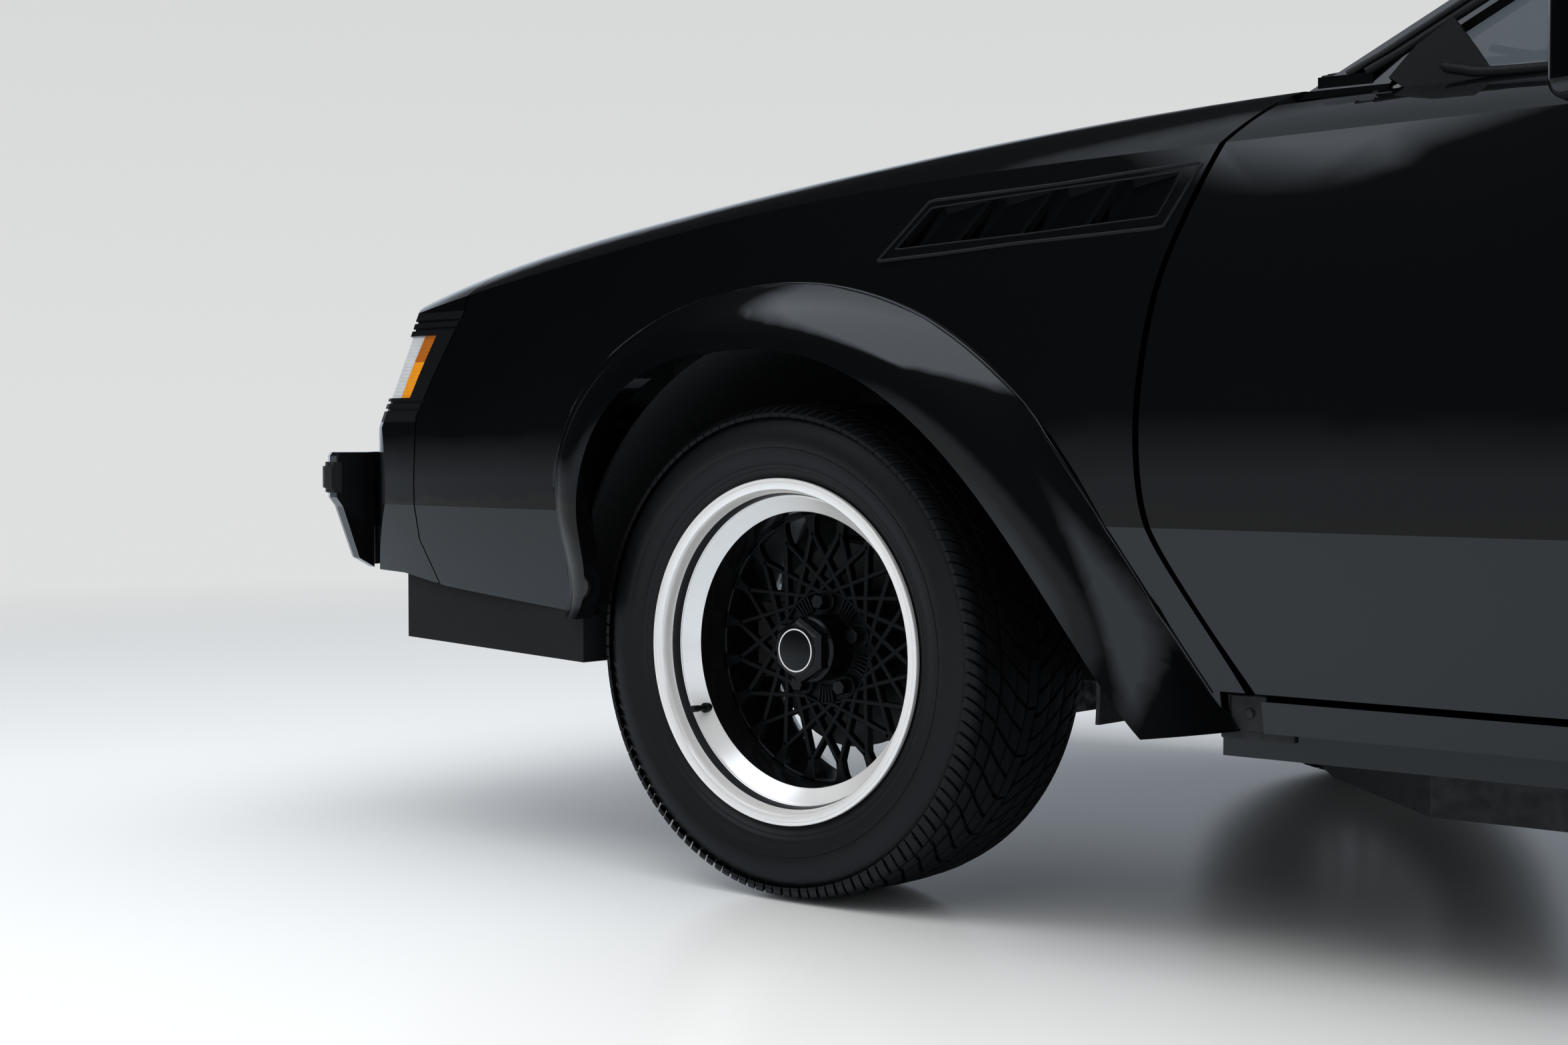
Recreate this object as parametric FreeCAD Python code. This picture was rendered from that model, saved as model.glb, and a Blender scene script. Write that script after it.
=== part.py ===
"""Two-door rear-drive muscle coupe of the mid 1980s, as an assembly of separate solids.

Millimetres. +Z up, front of the car towards -Y, +X is the car's left side.
The origin is on the ground, midway along the length and on the centre plane.
In the helpers, "a" is the distance behind the front axle.
"""
import FreeCAD, Part
import math
import os
from FreeCAD import Vector

os.makedirs("parts", exist_ok=True)

# Driving dimensions of the whole car
WHEELBASE = 2746.0
FRONT_OVERHANG = 1054.0
REAR_OVERHANG = 1295.0
HALF_WIDTH = 906.0
SILL_Z = 272.0
CREASE_Z = 492.0
ROOF_Z = 1390.0
BELT_Z = 968.0
PANEL_GAP = 8.0
SKIN = 14.0

# Wheels and tyres
TYRE_R = 318.0
TYRE_W_FRONT = 245.0
TYRE_W_REAR = 255.0
RIM_FLANGE_R = 221.0
BEAD_R = 203.0
RIM_W = 227.0
WHEEL_X_FRONT = 743.0
WHEEL_X_REAR = 733.0
SPINDLE_R = 17.0
FIT = 0.3

# Wheel mesh: stems stand on a ring and split into two bars that cross the neighbours' bars
LATTICE_X = 22.0
LATTICE_T = 12.0
LATTICE_COUNT = 20
LATTICE_R = 175.0
FORK_R = 150.0
BAR_END_R = 72.0
BAR_TURN = 37.3
BAR_W = 5.6
CAP_R = 42.5

# Places along the car, measured behind the front axle
NOSE_A = -905.0
NOSE_SEAM_A = -690.0
HOOD_FRONT_A = -705.0
HOOD_REAR_A = 600.0
FIREWALL_A = 560.0
DOOR_REAR_A = WHEELBASE - 784
BULKHEAD_A = WHEELBASE - 201
LID_FRONT_A = BULKHEAD_A + 200
TAIL_A = WHEELBASE + 1165.0

# Greenhouse
SCREEN_BASE_A = 655.0
BODY_TOP_Z = 1004.0
SCREEN_SLOPE = 31.0
REAR_GLASS_BASE_A = LID_FRONT_A - 55
REAR_GLASS_SLOPE = 57.0
GLASS_BASE_X = 800.0
ROOF_EDGE_X = 612.0
ROOF_SKIN = 42.0
GLASS_T = 5.0

# Lids and their hinges
HOOD_FRONT_X = 690.0
HOOD_REAR_X = 742.0
LID_X = 655.0
LID_PIN_R = 5.0
HOOD_HINGE_X = 705.0
HOOD_HINGE_A = HOOD_REAR_A - 80.0
HOOD_HINGE_Z = 942.0
LID_HINGE_X = 618.0
LID_HINGE_A = LID_FRONT_A + 80.0
LID_HINGE_Z = 947.0
HOOD_BULGE = 16.0
SPOILER_H = 34.0
LID_FACE_X = 385.0
LID_FACE_Z = 655.0

# Doors
POST_A = 788.0
DOOR_T = 128.0
DOOR_BOTTOM_Z = 315.0

FRONT_AXLE_Y = FRONT_OVERHANG - (FRONT_OVERHANG + WHEELBASE + REAR_OVERHANG) / 2


def at(a):
    """Row Y of a place that lies a millimetres behind the front axle."""
    return FRONT_AXLE_Y + a


def box(x0, x1, a0, a1, z0, z1):
    return Part.makeBox(x1 - x0, a1 - a0, z1 - z0, Vector(x0, at(a0), z0))


def closed_wire(points):
    return Part.makePolygon(points + [points[0]])


def prism_x(outline, x0, x1):
    """Side-view outline of (a, z) points pushed from x0 to x1."""
    face = Part.Face(closed_wire([Vector(x0, at(a), z) for a, z in outline]))
    return face.extrude(Vector(x1 - x0, 0, 0))


def prism_y(outline, a0, a1):
    """Front-view outline of (x, z) points pushed from a0 to a1."""
    face = Part.Face(closed_wire([Vector(x, at(a0), z) for x, z in outline]))
    return face.extrude(Vector(0, a1 - a0, 0))


def prism_z(outline, z0, z1):
    """Plan outline of (x, a) points pushed from z0 to z1."""
    face = Part.Face(closed_wire([Vector(x, at(a), z0) for x, a in outline]))
    return face.extrude(Vector(0, 0, z1 - z0))


def curve_prism_x(curve, corners, x0, x1):
    """Side-view outline: a smooth curve closed by straight runs through the corners."""
    points = [Vector(x0, at(a), z) for a, z in curve]
    spline = Part.BSplineCurve()
    spline.interpolate(points)
    rest = [points[-1]] + [Vector(x0, at(a), z) for a, z in corners] + [points[0]]
    edges = [spline.toShape()] + [Part.makeLine(p, q) for p, q in zip(rest, rest[1:])]
    return Part.Face(Part.Wire(edges)).extrude(Vector(x1 - x0, 0, 0))


def mirrored(shape):
    return shape.mirror(Vector(0, 0, 0), Vector(1, 0, 0))


def both(shape):
    return Part.makeCompound([shape, mirrored(shape)])


def rod(p, q, radius):
    p, q = Vector(*p), Vector(*q)
    return Part.makeCylinder(radius, (q - p).Length, p, q - p)


def revolve_x(profile, x0=0.0):
    """Profile of (x, r) points turned about the X axis."""
    face = Part.Face(closed_wire([Vector(x0 + x, 0, r) for x, r in profile]))
    return face.revolve(Vector(0, 0, 0), Vector(1, 0, 0), 360)


def faceted_ring(profile, count):
    """Ring of flat faces: a profile of (x, r) points turned about X in count steps."""
    step = 2 * math.pi / count
    rings = []
    for i in range(count):
        c, s = math.cos(i * step), math.sin(i * step)
        rings.append([Vector(x, r * s, -r * c) for x, r in profile])
    faces = []
    for i in range(count):
        here, there = rings[i], rings[(i + 1) % count]
        for j in range(len(profile)):
            k = (j + 1) % len(profile)
            faces.append(Part.Face(closed_wire([here[j], here[k], there[k], there[j]])))
    return Part.Solid(Part.Shell(faces))


def turned_y(profile, x, z):
    """Profile of (a, r) points turned about a line along the car at x and z."""
    face = Part.Face(closed_wire([Vector(x + r, at(a), z) for a, r in profile]))
    return face.revolve(Vector(x, 0, z), Vector(0, 1, 0), 360)


def fused(shapes):
    result = shapes[0]
    for shape in shapes[1:]:
        result = result.fuse(shape)
    return result.removeSplitter()


NODES = {}


def keep(name, shape):
    NODES[name] = shape


# Body form: stations of (a, half width, shoulder z, top edge z, centre z)
STATIONS = [
    (NOSE_A - 30, HALF_WIDTH - 88, 716, 752, 792),
    (NOSE_SEAM_A, HALF_WIDTH - 35, 779, 826, 866),
    (-350, HALF_WIDTH - 13, 832, 882, 922),
    (0, HALF_WIDTH - 7, 878, 924, 960),
    (350, HALF_WIDTH - 3, 901, 956, 990),
    (700, HALF_WIDTH - 1, 911, 974, 1008),
    (1300, HALF_WIDTH, 921, 974, 1004),
    (DOOR_REAR_A, HALF_WIDTH, 929, BELT_Z + 3, 996),
    (WHEELBASE, HALF_WIDTH - 4, 936, BELT_Z, 990),
    (WHEELBASE + 600, HALF_WIDTH - 18, 936, BELT_Z - 3, 984),
    (TAIL_A + 30, HALF_WIDTH - 56, 924, BELT_Z - 16, 966),
]
SHOULDER_IN = 38.0
SIDE_BOW = 0.2
EDGE_IN = 150.0
SILL_TUCK = 42.0


def station(a):
    """Half width, shoulder, edge and centre heights at a, between two stations."""
    for low, high in zip(STATIONS, STATIONS[1:]):
        if a <= high[0] or high is STATIONS[-1]:
            t = (a - low[0]) / (high[0] - low[0])
            return [p + t * (q - p) for p, q in zip(low[1:], high[1:])]


def side_x(a, z):
    """Where the body's outer side lies at a and z."""
    half, shoulder, edge, centre = station(a)
    if z <= CREASE_Z:
        return half - SILL_TUCK * (CREASE_Z - z) / (CREASE_Z - SILL_Z)
    t = min(1.0, (z - CREASE_Z) / (shoulder - CREASE_Z))
    return half - SHOULDER_IN * ((4 * SIDE_BOW - 1) * t + (2 - 4 * SIDE_BOW) * t * t)


def body_section(a, half, shoulder, edge, centre, inset):
    y = at(a)
    low = SILL_Z + inset
    w = half - inset
    zs, ze, zc = shoulder - inset * 0.7, edge - inset, centre - inset
    zm = (CREASE_Z + zs) / 2

    def p(x, z):
        return Vector(x, y, z)

    left = [
        Part.makeLine(p(w - SILL_TUCK, low), p(w, CREASE_Z)),
        Part.Arc(p(w, CREASE_Z), p(w - SHOULDER_IN * SIDE_BOW, zm), p(w - SHOULDER_IN, zs)).toShape(),
        Part.Arc(p(w - SHOULDER_IN, zs), p(w - (SHOULDER_IN + EDGE_IN) / 2, zs + (ze - zs) * 0.64),
                 p(w - EDGE_IN, ze)).toShape(),
    ]
    top = Part.Arc(p(w - EDGE_IN, ze), p(0, zc), p(EDGE_IN - w, ze)).toShape()
    right = [
        Part.Arc(p(EDGE_IN - w, ze), p((SHOULDER_IN + EDGE_IN) / 2 - w, zs + (ze - zs) * 0.64),
                 p(SHOULDER_IN - w, zs)).toShape(),
        Part.Arc(p(SHOULDER_IN - w, zs), p(SHOULDER_IN * SIDE_BOW - w, zm), p(-w, CREASE_Z)).toShape(),
        Part.makeLine(p(-w, CREASE_Z), p(SILL_TUCK - w, low)),
    ]
    bottom = Part.makeLine(p(SILL_TUCK - w, low), p(w - SILL_TUCK, low))
    return Part.Wire(left + [top] + right + [bottom])


# Nose seen from above: (x, distance behind the nose) from the middle round the corner
NOSE_PLAN = [(0, 0), (400, 1), (640, 8), (735, 25), (795, 55), (838, 99), (864, 147), (886, 215), (935, 345)]
LAMP_LOW_Z = 605.0
BROW_Z = 785.0
NOSE_LEAN = 0.55
BROW_LEAN = 2.0


def nose_block(inset, z0, z1, back, lean, tail):
    """Block from the nose to the tail between two heights, its front leaning back as it rises."""
    half = [(x - inset if x else 0, NOSE_A + back + inset + a) for x, a in NOSE_PLAN]
    points = [Vector(-x, at(a), z0) for x, a in reversed(half)] + [Vector(x, at(a), z0) for x, a in half[1:]]
    spline = Part.BSplineCurve()
    spline.interpolate(points)
    ends = [points[-1], Vector(points[-1].x, at(tail), z0), Vector(points[0].x, at(tail), z0), points[0]]
    wire = Part.Wire([spline.toShape()] + [Part.makeLine(p, q) for p, q in zip(ends, ends[1:])])
    block = Part.Face(wire).extrude(Vector(0, lean * (z1 - z0), z1 - z0))
    return block.common(box(-1000, 1000, NOSE_A - 100, tail, z0, z1))


def nose_face(z):
    """Where the front of the nose lies at z, between the bumper and the brow."""
    return NOSE_A + NOSE_LEAN * max(0, z - LAMP_LOW_Z)


def body_form(inset):
    """The closed form of the lower body, from nose to tail, set in by inset."""
    wires = [body_section(a, h, s, e, c, inset) for a, h, s, e, c in STATIONS]
    form = Part.makeLoft(wires, True, False)
    tail = TAIL_A - inset
    low = nose_block(inset, SILL_Z - 50, LAMP_LOW_Z, 0, 0, tail)
    lamps = nose_block(inset, LAMP_LOW_Z, BROW_Z, 0, NOSE_LEAN, tail)
    brow = nose_block(inset, BROW_Z, 1100, NOSE_LEAN * (BROW_Z - LAMP_LOW_Z), BROW_LEAN, tail)
    return form.common(fused([low, lamps, brow]))


BODY = body_form(0)
BODY_INNER = body_form(SKIN)
SHELL = BODY.cut(BODY_INNER)

# Side-view seams
DOOR_FRONT = [(694, 308), (655, 370), (610, 439), (579, 499), (567, 560), (565, 620), (571, 690),
              (587, 769), (612, 832), (648, 905), (692, 975), (740, 1060)]


def door_outline(grow):
    """Door prism over the left side, grown all round by grow."""
    curve = [(a - grow, z) for a, z in DOOR_FRONT]
    curve[0] = (curve[0][0], DOOR_BOTTOM_Z - grow)
    corners = [(DOOR_REAR_A + grow, DOOR_FRONT[-1][1]), (DOOR_REAR_A + grow, DOOR_BOTTOM_Z - grow)]
    return curve_prism_x(curve, corners, HALF_WIDTH - 260, HALF_WIDTH + 60)


# Wheel openings: (a from the axle, z) up the front edge, over the top and down the rear.
# The seam is where the flare band meets the panel.
ARCH_FRONT = [(-296, 349), (-293, 480), (-258, 605), (-154, 680), (-26, 702), (104, 689), (224, 639),
              (328, 558), (416, 462), (498, 360), (585, 262)]
SEAM_FRONT = [(-372, 352), (-368, 508), (-320, 654), (-194, 742), (-43, 778), (112, 776), (261, 732),
              (391, 647), (494, 530), (580, 401), (668, 272)]
ARCH_REAR = [(-420, 300), (-368, 424), (-294, 545), (-188, 642), (-60, 690), (72, 689), (196, 645),
             (289, 557), (333, 440), (352, 330)]
SEAM_REAR = [(-505, 300), (-448, 438), (-362, 584), (-238, 704), (-82, 763), (88, 763), (244, 712),
             (360, 597), (419, 462), (436, 330)]
PANEL_UNDER = 9.0
LIP_X = HALF_WIDTH + 22.0
LIP_IN = 30.0


def opening(arch, axle_a, x0=HALF_WIDTH - 110, x1=HALF_WIDTH + 60):
    """Prism through the side for one wheel opening."""
    curve = [(axle_a + a, z) for a, z in arch]
    corners = [(curve[-1][0] + 25, SILL_Z - 60), (curve[0][0], SILL_Z - 60)]
    return curve_prism_x(curve, corners, x0, x1)


def under_flare(arch, seam):
    """Outline of the panel's own opening, a little inside the seam, under the flare."""
    outline = []
    for (a0, z0), (a1, z1) in zip(arch, seam):
        t = PANEL_UNDER / math.hypot(a1 - a0, z1 - z0)
        outline.append((a1 + t * (a0 - a1), z1 + t * (z0 - z1)))
    return outline


def flare(arch, seam, axle_a):
    """Bulged band between the seam on the panel and the lip of the wheel opening."""
    wires = []
    for (a0, z0), (a1, z1) in zip(arch, seam):
        seam_x = side_x(axle_a + a1, z1) + 3
        lip = Vector(LIP_X, at(axle_a + a0), z0)
        edge = Vector(seam_x, at(axle_a + a1), z1)
        crown = (lip + edge) * 0.5 + Vector(11, 0, 0)
        back = Vector(seam_x - 9, at(axle_a + a1), z1)
        inner = Vector(LIP_X - LIP_IN, at(axle_a + a0), z0)
        wires.append(Part.Wire([
            Part.Arc(lip, crown, edge).toShape(),
            Part.makeLine(edge, back),
            Part.makeLine(back, inner),
            Part.makeLine(inner, lip),
        ]))
    return Part.makeLoft(wires, True, False)


# Plan outlines of the lids
def hood_swing():
    """Room that the hood's rear edge needs as it dips behind its hinge."""
    reach = math.hypot(HOOD_REAR_A - HOOD_HINGE_A, BODY_TOP_Z - HOOD_HINGE_Z) + 6
    return rod((-800, at(HOOD_HINGE_A), HOOD_HINGE_Z), (800, at(HOOD_HINGE_A), HOOD_HINGE_Z), reach)


def hood_plan(grow):
    front, rear = HOOD_FRONT_A - grow, HOOD_REAR_A + grow
    xf, xr = HOOD_FRONT_X + grow, HOOD_REAR_X + grow
    return prism_z([(-xf, front + 12), (-xf * 0.5, front), (xf * 0.5, front), (xf, front + 12),
                    (xr, rear), (-xr, rear)], 650, 1100)


def raised_body(height):
    """The body form lifted by height, without the hollow inside."""
    form = BODY.copy()
    form.translate(Vector(0, 0, height))
    return form.cut(BODY_INNER)


def hood_bulge():
    """Raised middle of the hood, with sloping edges."""
    def plan(grow, z):
        rear = HOOD_REAR_A - 90 + grow
        points = [(-150 - grow, -520 - grow), (150 + grow, -520 - grow),
                  (235 + grow, rear), (-235 - grow, rear)]
        return closed_wire([Vector(x, at(a), z) for x, a in points])
    block = Part.makeLoft([plan(60, 850), plan(-10, 1050)], True, True)
    return raised_body(HOOD_BULGE).common(block)


def spoiler():
    """Low ramp on the rear edge of the trunk lid."""
    ramp = prism_x([(TAIL_A - 170, 935), (TAIL_A - 48, 1030), (TAIL_A - 16, 1030), (TAIL_A - 8, 935)],
                   70 - LID_X, LID_X - 70)
    return raised_body(SPOILER_H).common(ramp)


def lid_plan(grow):
    front, rear = LID_FRONT_A - grow, TAIL_A + 40
    x = LID_X + grow
    return prism_z([(-x, front), (x, front), (x - 25, rear), (25 - x, rear)], 700, 1100)


def lid_zone(grow):
    """Room of the trunk lid: its top and its rear face between the tail lamps."""
    top = lid_plan(grow).common(box(-1000, 1000, 0, 5000, 905 - grow, 1100))
    face = box(-LID_FACE_X - grow, LID_FACE_X + grow, TAIL_A - 30, TAIL_A + 40, LID_FACE_Z - grow, 1100)
    return top.fuse(face)


NOSE_SEAM = [(NOSE_SEAM_A + 50, 200), (NOSE_SEAM_A + 40, 373), (NOSE_SEAM_A + 2, 442), (NOSE_SEAM_A, 620),
             (NOSE_SEAM_A + 85, 767), (NOSE_SEAM_A + 130, 1100)]
NOSE_GAP = 1.5
LOWER_EDGE = [(-1200, 402), (-742, 391), (-638, 376), (-340, 351), (-340, 200), (-1200, 200)]
REAR_LOWER_EDGE = [(WHEELBASE + 330, 322), (TAIL_A + 60, 400), (TAIL_A + 60, 200), (WHEELBASE + 330, 200)]
ARCH_CUT = opening(ARCH_FRONT, 0)
REAR_CUT = opening(ARCH_REAR, WHEELBASE)
TRIMS = [prism_x(LOWER_EDGE, -1000, 1000), prism_x(REAR_LOWER_EDGE, -1000, 1000)]
FLOOR_HALF = HALF_WIDTH - DOOR_T - 12
REAR_WELL_R = 392.0
REAR_WELL_X = 552.0
FRAME_X = 395.0
RAIL_W = 62.0
RAIL_H = 92.0
CROSS_Z = 190.0
CROSS_T = 50.0
BUMPER_Z0 = 408.0
BUMPER_Z1 = 568.0
TAIL_CUT = box(-1000, 1000, TAIL_A - 66, TAIL_A + 60, 200, BUMPER_Z1 + 20)


def front_fender():
    region = box(EDGE_IN, 1000, NOSE_SEAM_A - 5, 760, SILL_Z - 5, 1100)
    ahead = prism_x([(a + NOSE_GAP, z) for a, z in NOSE_SEAM] + [(-1200, 1100), (-1200, 200)], 0, 1000)
    panel = SHELL.common(region).cut(ahead)
    panel = panel.cut(box(0, HALF_WIDTH - 100, -700, 800, SILL_Z - 5, DOOR_BOTTOM_Z))
    panel = panel.cut(hood_plan(PANEL_GAP)).cut(door_outline(PANEL_GAP))
    panel = panel.cut(box(0, 1000, 650, 800, SILL_Z - 5, DOOR_BOTTOM_Z))
    panel = panel.cut(box(0, HOOD_REAR_X + PANEL_GAP, HOOD_REAR_A, 800, 200, 1100))
    panel = panel.cut(opening(under_flare(ARCH_FRONT, SEAM_FRONT), 0)).cut(TRIMS[0])
    panel = panel.cut(box(0, 1000, SCREEN_BASE_A + 20, 900, 700, 1100))
    band = flare(ARCH_FRONT, SEAM_FRONT, 0)
    pin = hinge_pin(HOOD_HINGE_X, HOOD_HINGE_A, HOOD_HINGE_Z, HOOD_REAR_X + PANEL_GAP + 2)
    panel = panel.fuse(band).fuse(pin).fuse(vent_block(VENT_OUTER, [-8, -8, -8, -8], VENT_RIM))
    for scoop in vent_scoops():
        panel = panel.cut(scoop)
    return panel.cut(door_outline(PANEL_GAP))


# Louvred vent of the fender: corners (a, z) from the lower front round by the top
VENT_OUTER = [(178, 802), (250, 872), (627, 891), (584, 821)]
VENT_INNER = [(208, 816), (257, 863), (599, 882), (571, 834)]
VENT_CELLS = 4
VENT_FIN = 0.02
VENT_RIM = 2.5
VENT_DEPTH = 11.0


def vent_x(z):
    """Plane that follows the fender's side at the vent."""
    return HALF_WIDTH - 25 - 0.17 * (z - VENT_OUTER[0][1])


def vent_block(corners, depths, proud):
    """Solid over four (a, z) corners, from its depth at each corner out to proud of the plane."""
    low = [Vector(vent_x(z) + d, at(a), z) for (a, z), d in zip(corners, depths)]
    high = [Vector(vent_x(z) + proud, at(a), z) for a, z in corners]
    outlines = [low[:3], [low[0], low[2], low[3]], high]
    for i in range(4):
        j = (i + 1) % 4
        outlines.append([low[i], low[j], high[j], high[i]])
    return Part.Solid(Part.Shell([Part.Face(closed_wire(outline)) for outline in outlines]))


def vent_scoops():
    """Cuts that are deep at their front edge and run out at their rear edge."""
    def between(p, q, t):
        return (p[0] + t * (q[0] - p[0]), p[1] + t * (q[1] - p[1]))
    low_front, top_front, top_rear, low_rear = VENT_INNER
    scoops = []
    for i in range(VENT_CELLS):
        t0, t1 = i / VENT_CELLS + VENT_FIN / 2, (i + 1) / VENT_CELLS - VENT_FIN / 2
        corners = [between(low_front, low_rear, t0), between(top_front, top_rear, t0),
                   between(top_front, top_rear, t1), between(low_front, low_rear, t1)]
        scoops.append(vent_block(corners, [-VENT_DEPTH, -VENT_DEPTH, 0, 0], 12))
    return scoops


def hinge_pin(x, a, z, bracket_x):
    """Fixed side of a lid hinge: a pin along X held by a bracket under the panel."""
    pin = rod((x - 2, at(a), z), (bracket_x, at(a), z), LID_PIN_R)
    bracket = box(bracket_x, bracket_x + 8, a - 15, a + 15, z - 14, z + 22)
    return pin.fuse(bracket)


def hinge_tab(x, a, z):
    """Moving side of a lid hinge: a tab with a running hole."""
    tab = box(x, x + 8, a - 15, a + 15, z - 12, z + 20)
    return tab.cut(rod((x - 5, at(a), z), (x + 15, at(a), z), LID_PIN_R + FIT))


def largest(shape):
    return max(shape.Solids, key=lambda s: s.Volume)


def greenhouse_section(x, inset):
    """Side profile of the roof at x: windscreen, roof line and rear glass."""
    plan = (x / GLASS_BASE_X) ** 2
    crown = 26 * (x / ROOF_EDGE_X) ** 2
    base_z = BELT_Z - 60
    screen = math.tan(math.radians(SCREEN_SLOPE))
    rear = math.tan(math.radians(REAR_GLASS_SLOPE))
    a0 = SCREEN_BASE_A + 62 * plan + inset / math.sin(math.radians(SCREEN_SLOPE)) - 60 / screen
    a3 = REAR_GLASS_BASE_A - 40 * plan - inset / math.sin(math.radians(REAR_GLASS_SLOPE)) + 60 / rear
    front_z = ROOF_Z - 34 - crown - inset
    mid_z = ROOF_Z - crown - inset
    back_z = ROOF_Z - 30 - crown - inset
    a1 = a0 + (front_z - base_z) / screen
    a2 = a3 - (back_z - base_z) / rear

    def p(a, z):
        return Vector(x, at(a), z)

    roof = Part.Arc(p(a1, front_z), p((a1 + a2) / 2, mid_z), p(a2, back_z)).toShape()
    return Part.Wire([Part.makeLine(p(a0, base_z), p(a1, front_z)), roof,
                      Part.makeLine(p(a2, back_z), p(a3, base_z)),
                      Part.makeLine(p(a3, base_z), p(a0, base_z))])


def greenhouse(inset):
    wires = [greenhouse_section(x, inset) for x in (-840, -560, -280, 0, 280, 560, 840)]
    form = Part.makeLoft(wires, True, False)
    wb, wt = GLASS_BASE_X - inset, ROOF_EDGE_X - inset
    lean = (GLASS_BASE_X - ROOF_EDGE_X) / (ROOF_Z - 30 - BELT_Z)
    low = BELT_Z - 60
    wl = wb + lean * 60
    top = ROOF_Z + 60
    hull = prism_y([(-wl, low - 1), (-wt, ROOF_Z - 55), (-wt + 45, ROOF_Z - 22), (-wt + 110, top),
                    (wt - 110, top), (wt - 45, ROOF_Z - 22), (wt, ROOF_Z - 55), (wl, low - 1)],
                   SCREEN_BASE_A - 200, REAR_GLASS_BASE_A + 200)
    return form.common(hull)


WINDOW_TOP_A = 820 + 1.584 * (ROOF_Z - 78 - BELT_Z - 22)
SIDE_WINDOW = [(790, BELT_Z - 40), (820, BELT_Z + 22), (WINDOW_TOP_A, ROOF_Z - 78),
               (DOOR_REAR_A + 23, ROOF_Z - 72), (DOOR_REAR_A + 53, BELT_Z - 40)]
QUARTER_WINDOW = [(DOOR_REAR_A + 123, BELT_Z + 22), (DOOR_REAR_A + 113, ROOF_Z - 80),
                  (DOOR_REAR_A + 328, ROOF_Z - 88), (DOOR_REAR_A + 433, BELT_Z + 22)]


def side_window(outline):
    return prism_x(outline, 300, 1000)


GREEN = greenhouse(0)
GREEN_INNER = greenhouse(ROOF_SKIN)
PANE = greenhouse(6).cut(greenhouse(6 + GLASS_T))


def front_glass_region(trim):
    """Trapezoid of the windscreen seen from the front, smaller by trim."""
    rear = SCREEN_BASE_A + 1.742 * (ROOF_Z - BELT_Z)
    return prism_y([(-735 + trim, BELT_Z + 10), (-575 + trim, ROOF_Z - 62 - trim),
                    (575 - trim, ROOF_Z - 62 - trim), (735 - trim, BELT_Z + 10)],
                   SCREEN_BASE_A - 300, rear)


def rear_glass_region(trim):
    return prism_y([(-650 + trim, BELT_Z + 10), (-565 + trim, ROOF_Z - 85 - trim),
                    (565 - trim, ROOF_Z - 85 - trim), (650 - trim, BELT_Z + 10)],
                   REAR_GLASS_BASE_A - 390, REAR_GLASS_BASE_A + 200)


def roof_shell():
    shell = GREEN.cut(GREEN_INNER).cut(BODY)
    shell = shell.cut(front_glass_region(0)).cut(rear_glass_region(0))
    post = box(HOOD_REAR_X + PANEL_GAP + 2, GLASS_BASE_X - 2, SCREEN_BASE_A + 68, POST_A, 880, BELT_Z + 12)
    shell = shell.fuse(post).fuse(mirrored(post))
    for side in (1, -1):
        low, high = sorted((side * (GLASS_BASE_X - 1), side * 900))
        shell = shell.cut(box(low, high, 600, POST_A + 40, 800, BELT_Z + 30))
    for outline in (SIDE_WINDOW, QUARTER_WINDOW):
        window = side_window(outline)
        shell = shell.cut(window).cut(mirrored(window))
    return shell


def cabin_cavity():
    return box(DOOR_T - HALF_WIDTH, HALF_WIDTH - DOOR_T, FIREWALL_A, BULKHEAD_A, SILL_Z - 10, 1200)


def door():
    leaf = BODY.common(door_outline(0)).cut(cabin_cavity())
    leaf = leaf.cut(box(0, GLASS_BASE_X - 40, 0, 3000, 200, 1200))
    outer = HALF_WIDTH + 4
    swing = prism_z([(640, DOOR_REAR_A - 8), (outer, DOOR_REAR_A), (outer, DOOR_REAR_A + 50),
                     (640, DOOR_REAR_A + 50)], 200, 1200)
    return leaf.cut(swing).cut(box(0, GLASS_BASE_X + 6, 0, POST_A + 30, 850, 1200))


def mirror_shell():
    """Door mirror housing on its foot."""
    housing = prism_z([(862, 1052), (1010, 1070), (1024, 1112), (1010, 1152), (872, 1140)], 903, 1012)
    housing = housing.makeFillet(18, housing.Edges)
    foot = box(832, 880, 1064, 1120, 905, 940)
    return housing.fuse(foot)


def door_glass():
    outline = [(POST_A + 26, BELT_Z - 35), (POST_A + 44, BELT_Z + 18), (WINDOW_TOP_A + 6, ROOF_Z - 84),
               (DOOR_REAR_A + 16, ROOF_Z - 78), (DOOR_REAR_A - 12, BELT_Z - 35)]
    return PANE.common(prism_x(outline, 300, 1000))


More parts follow.
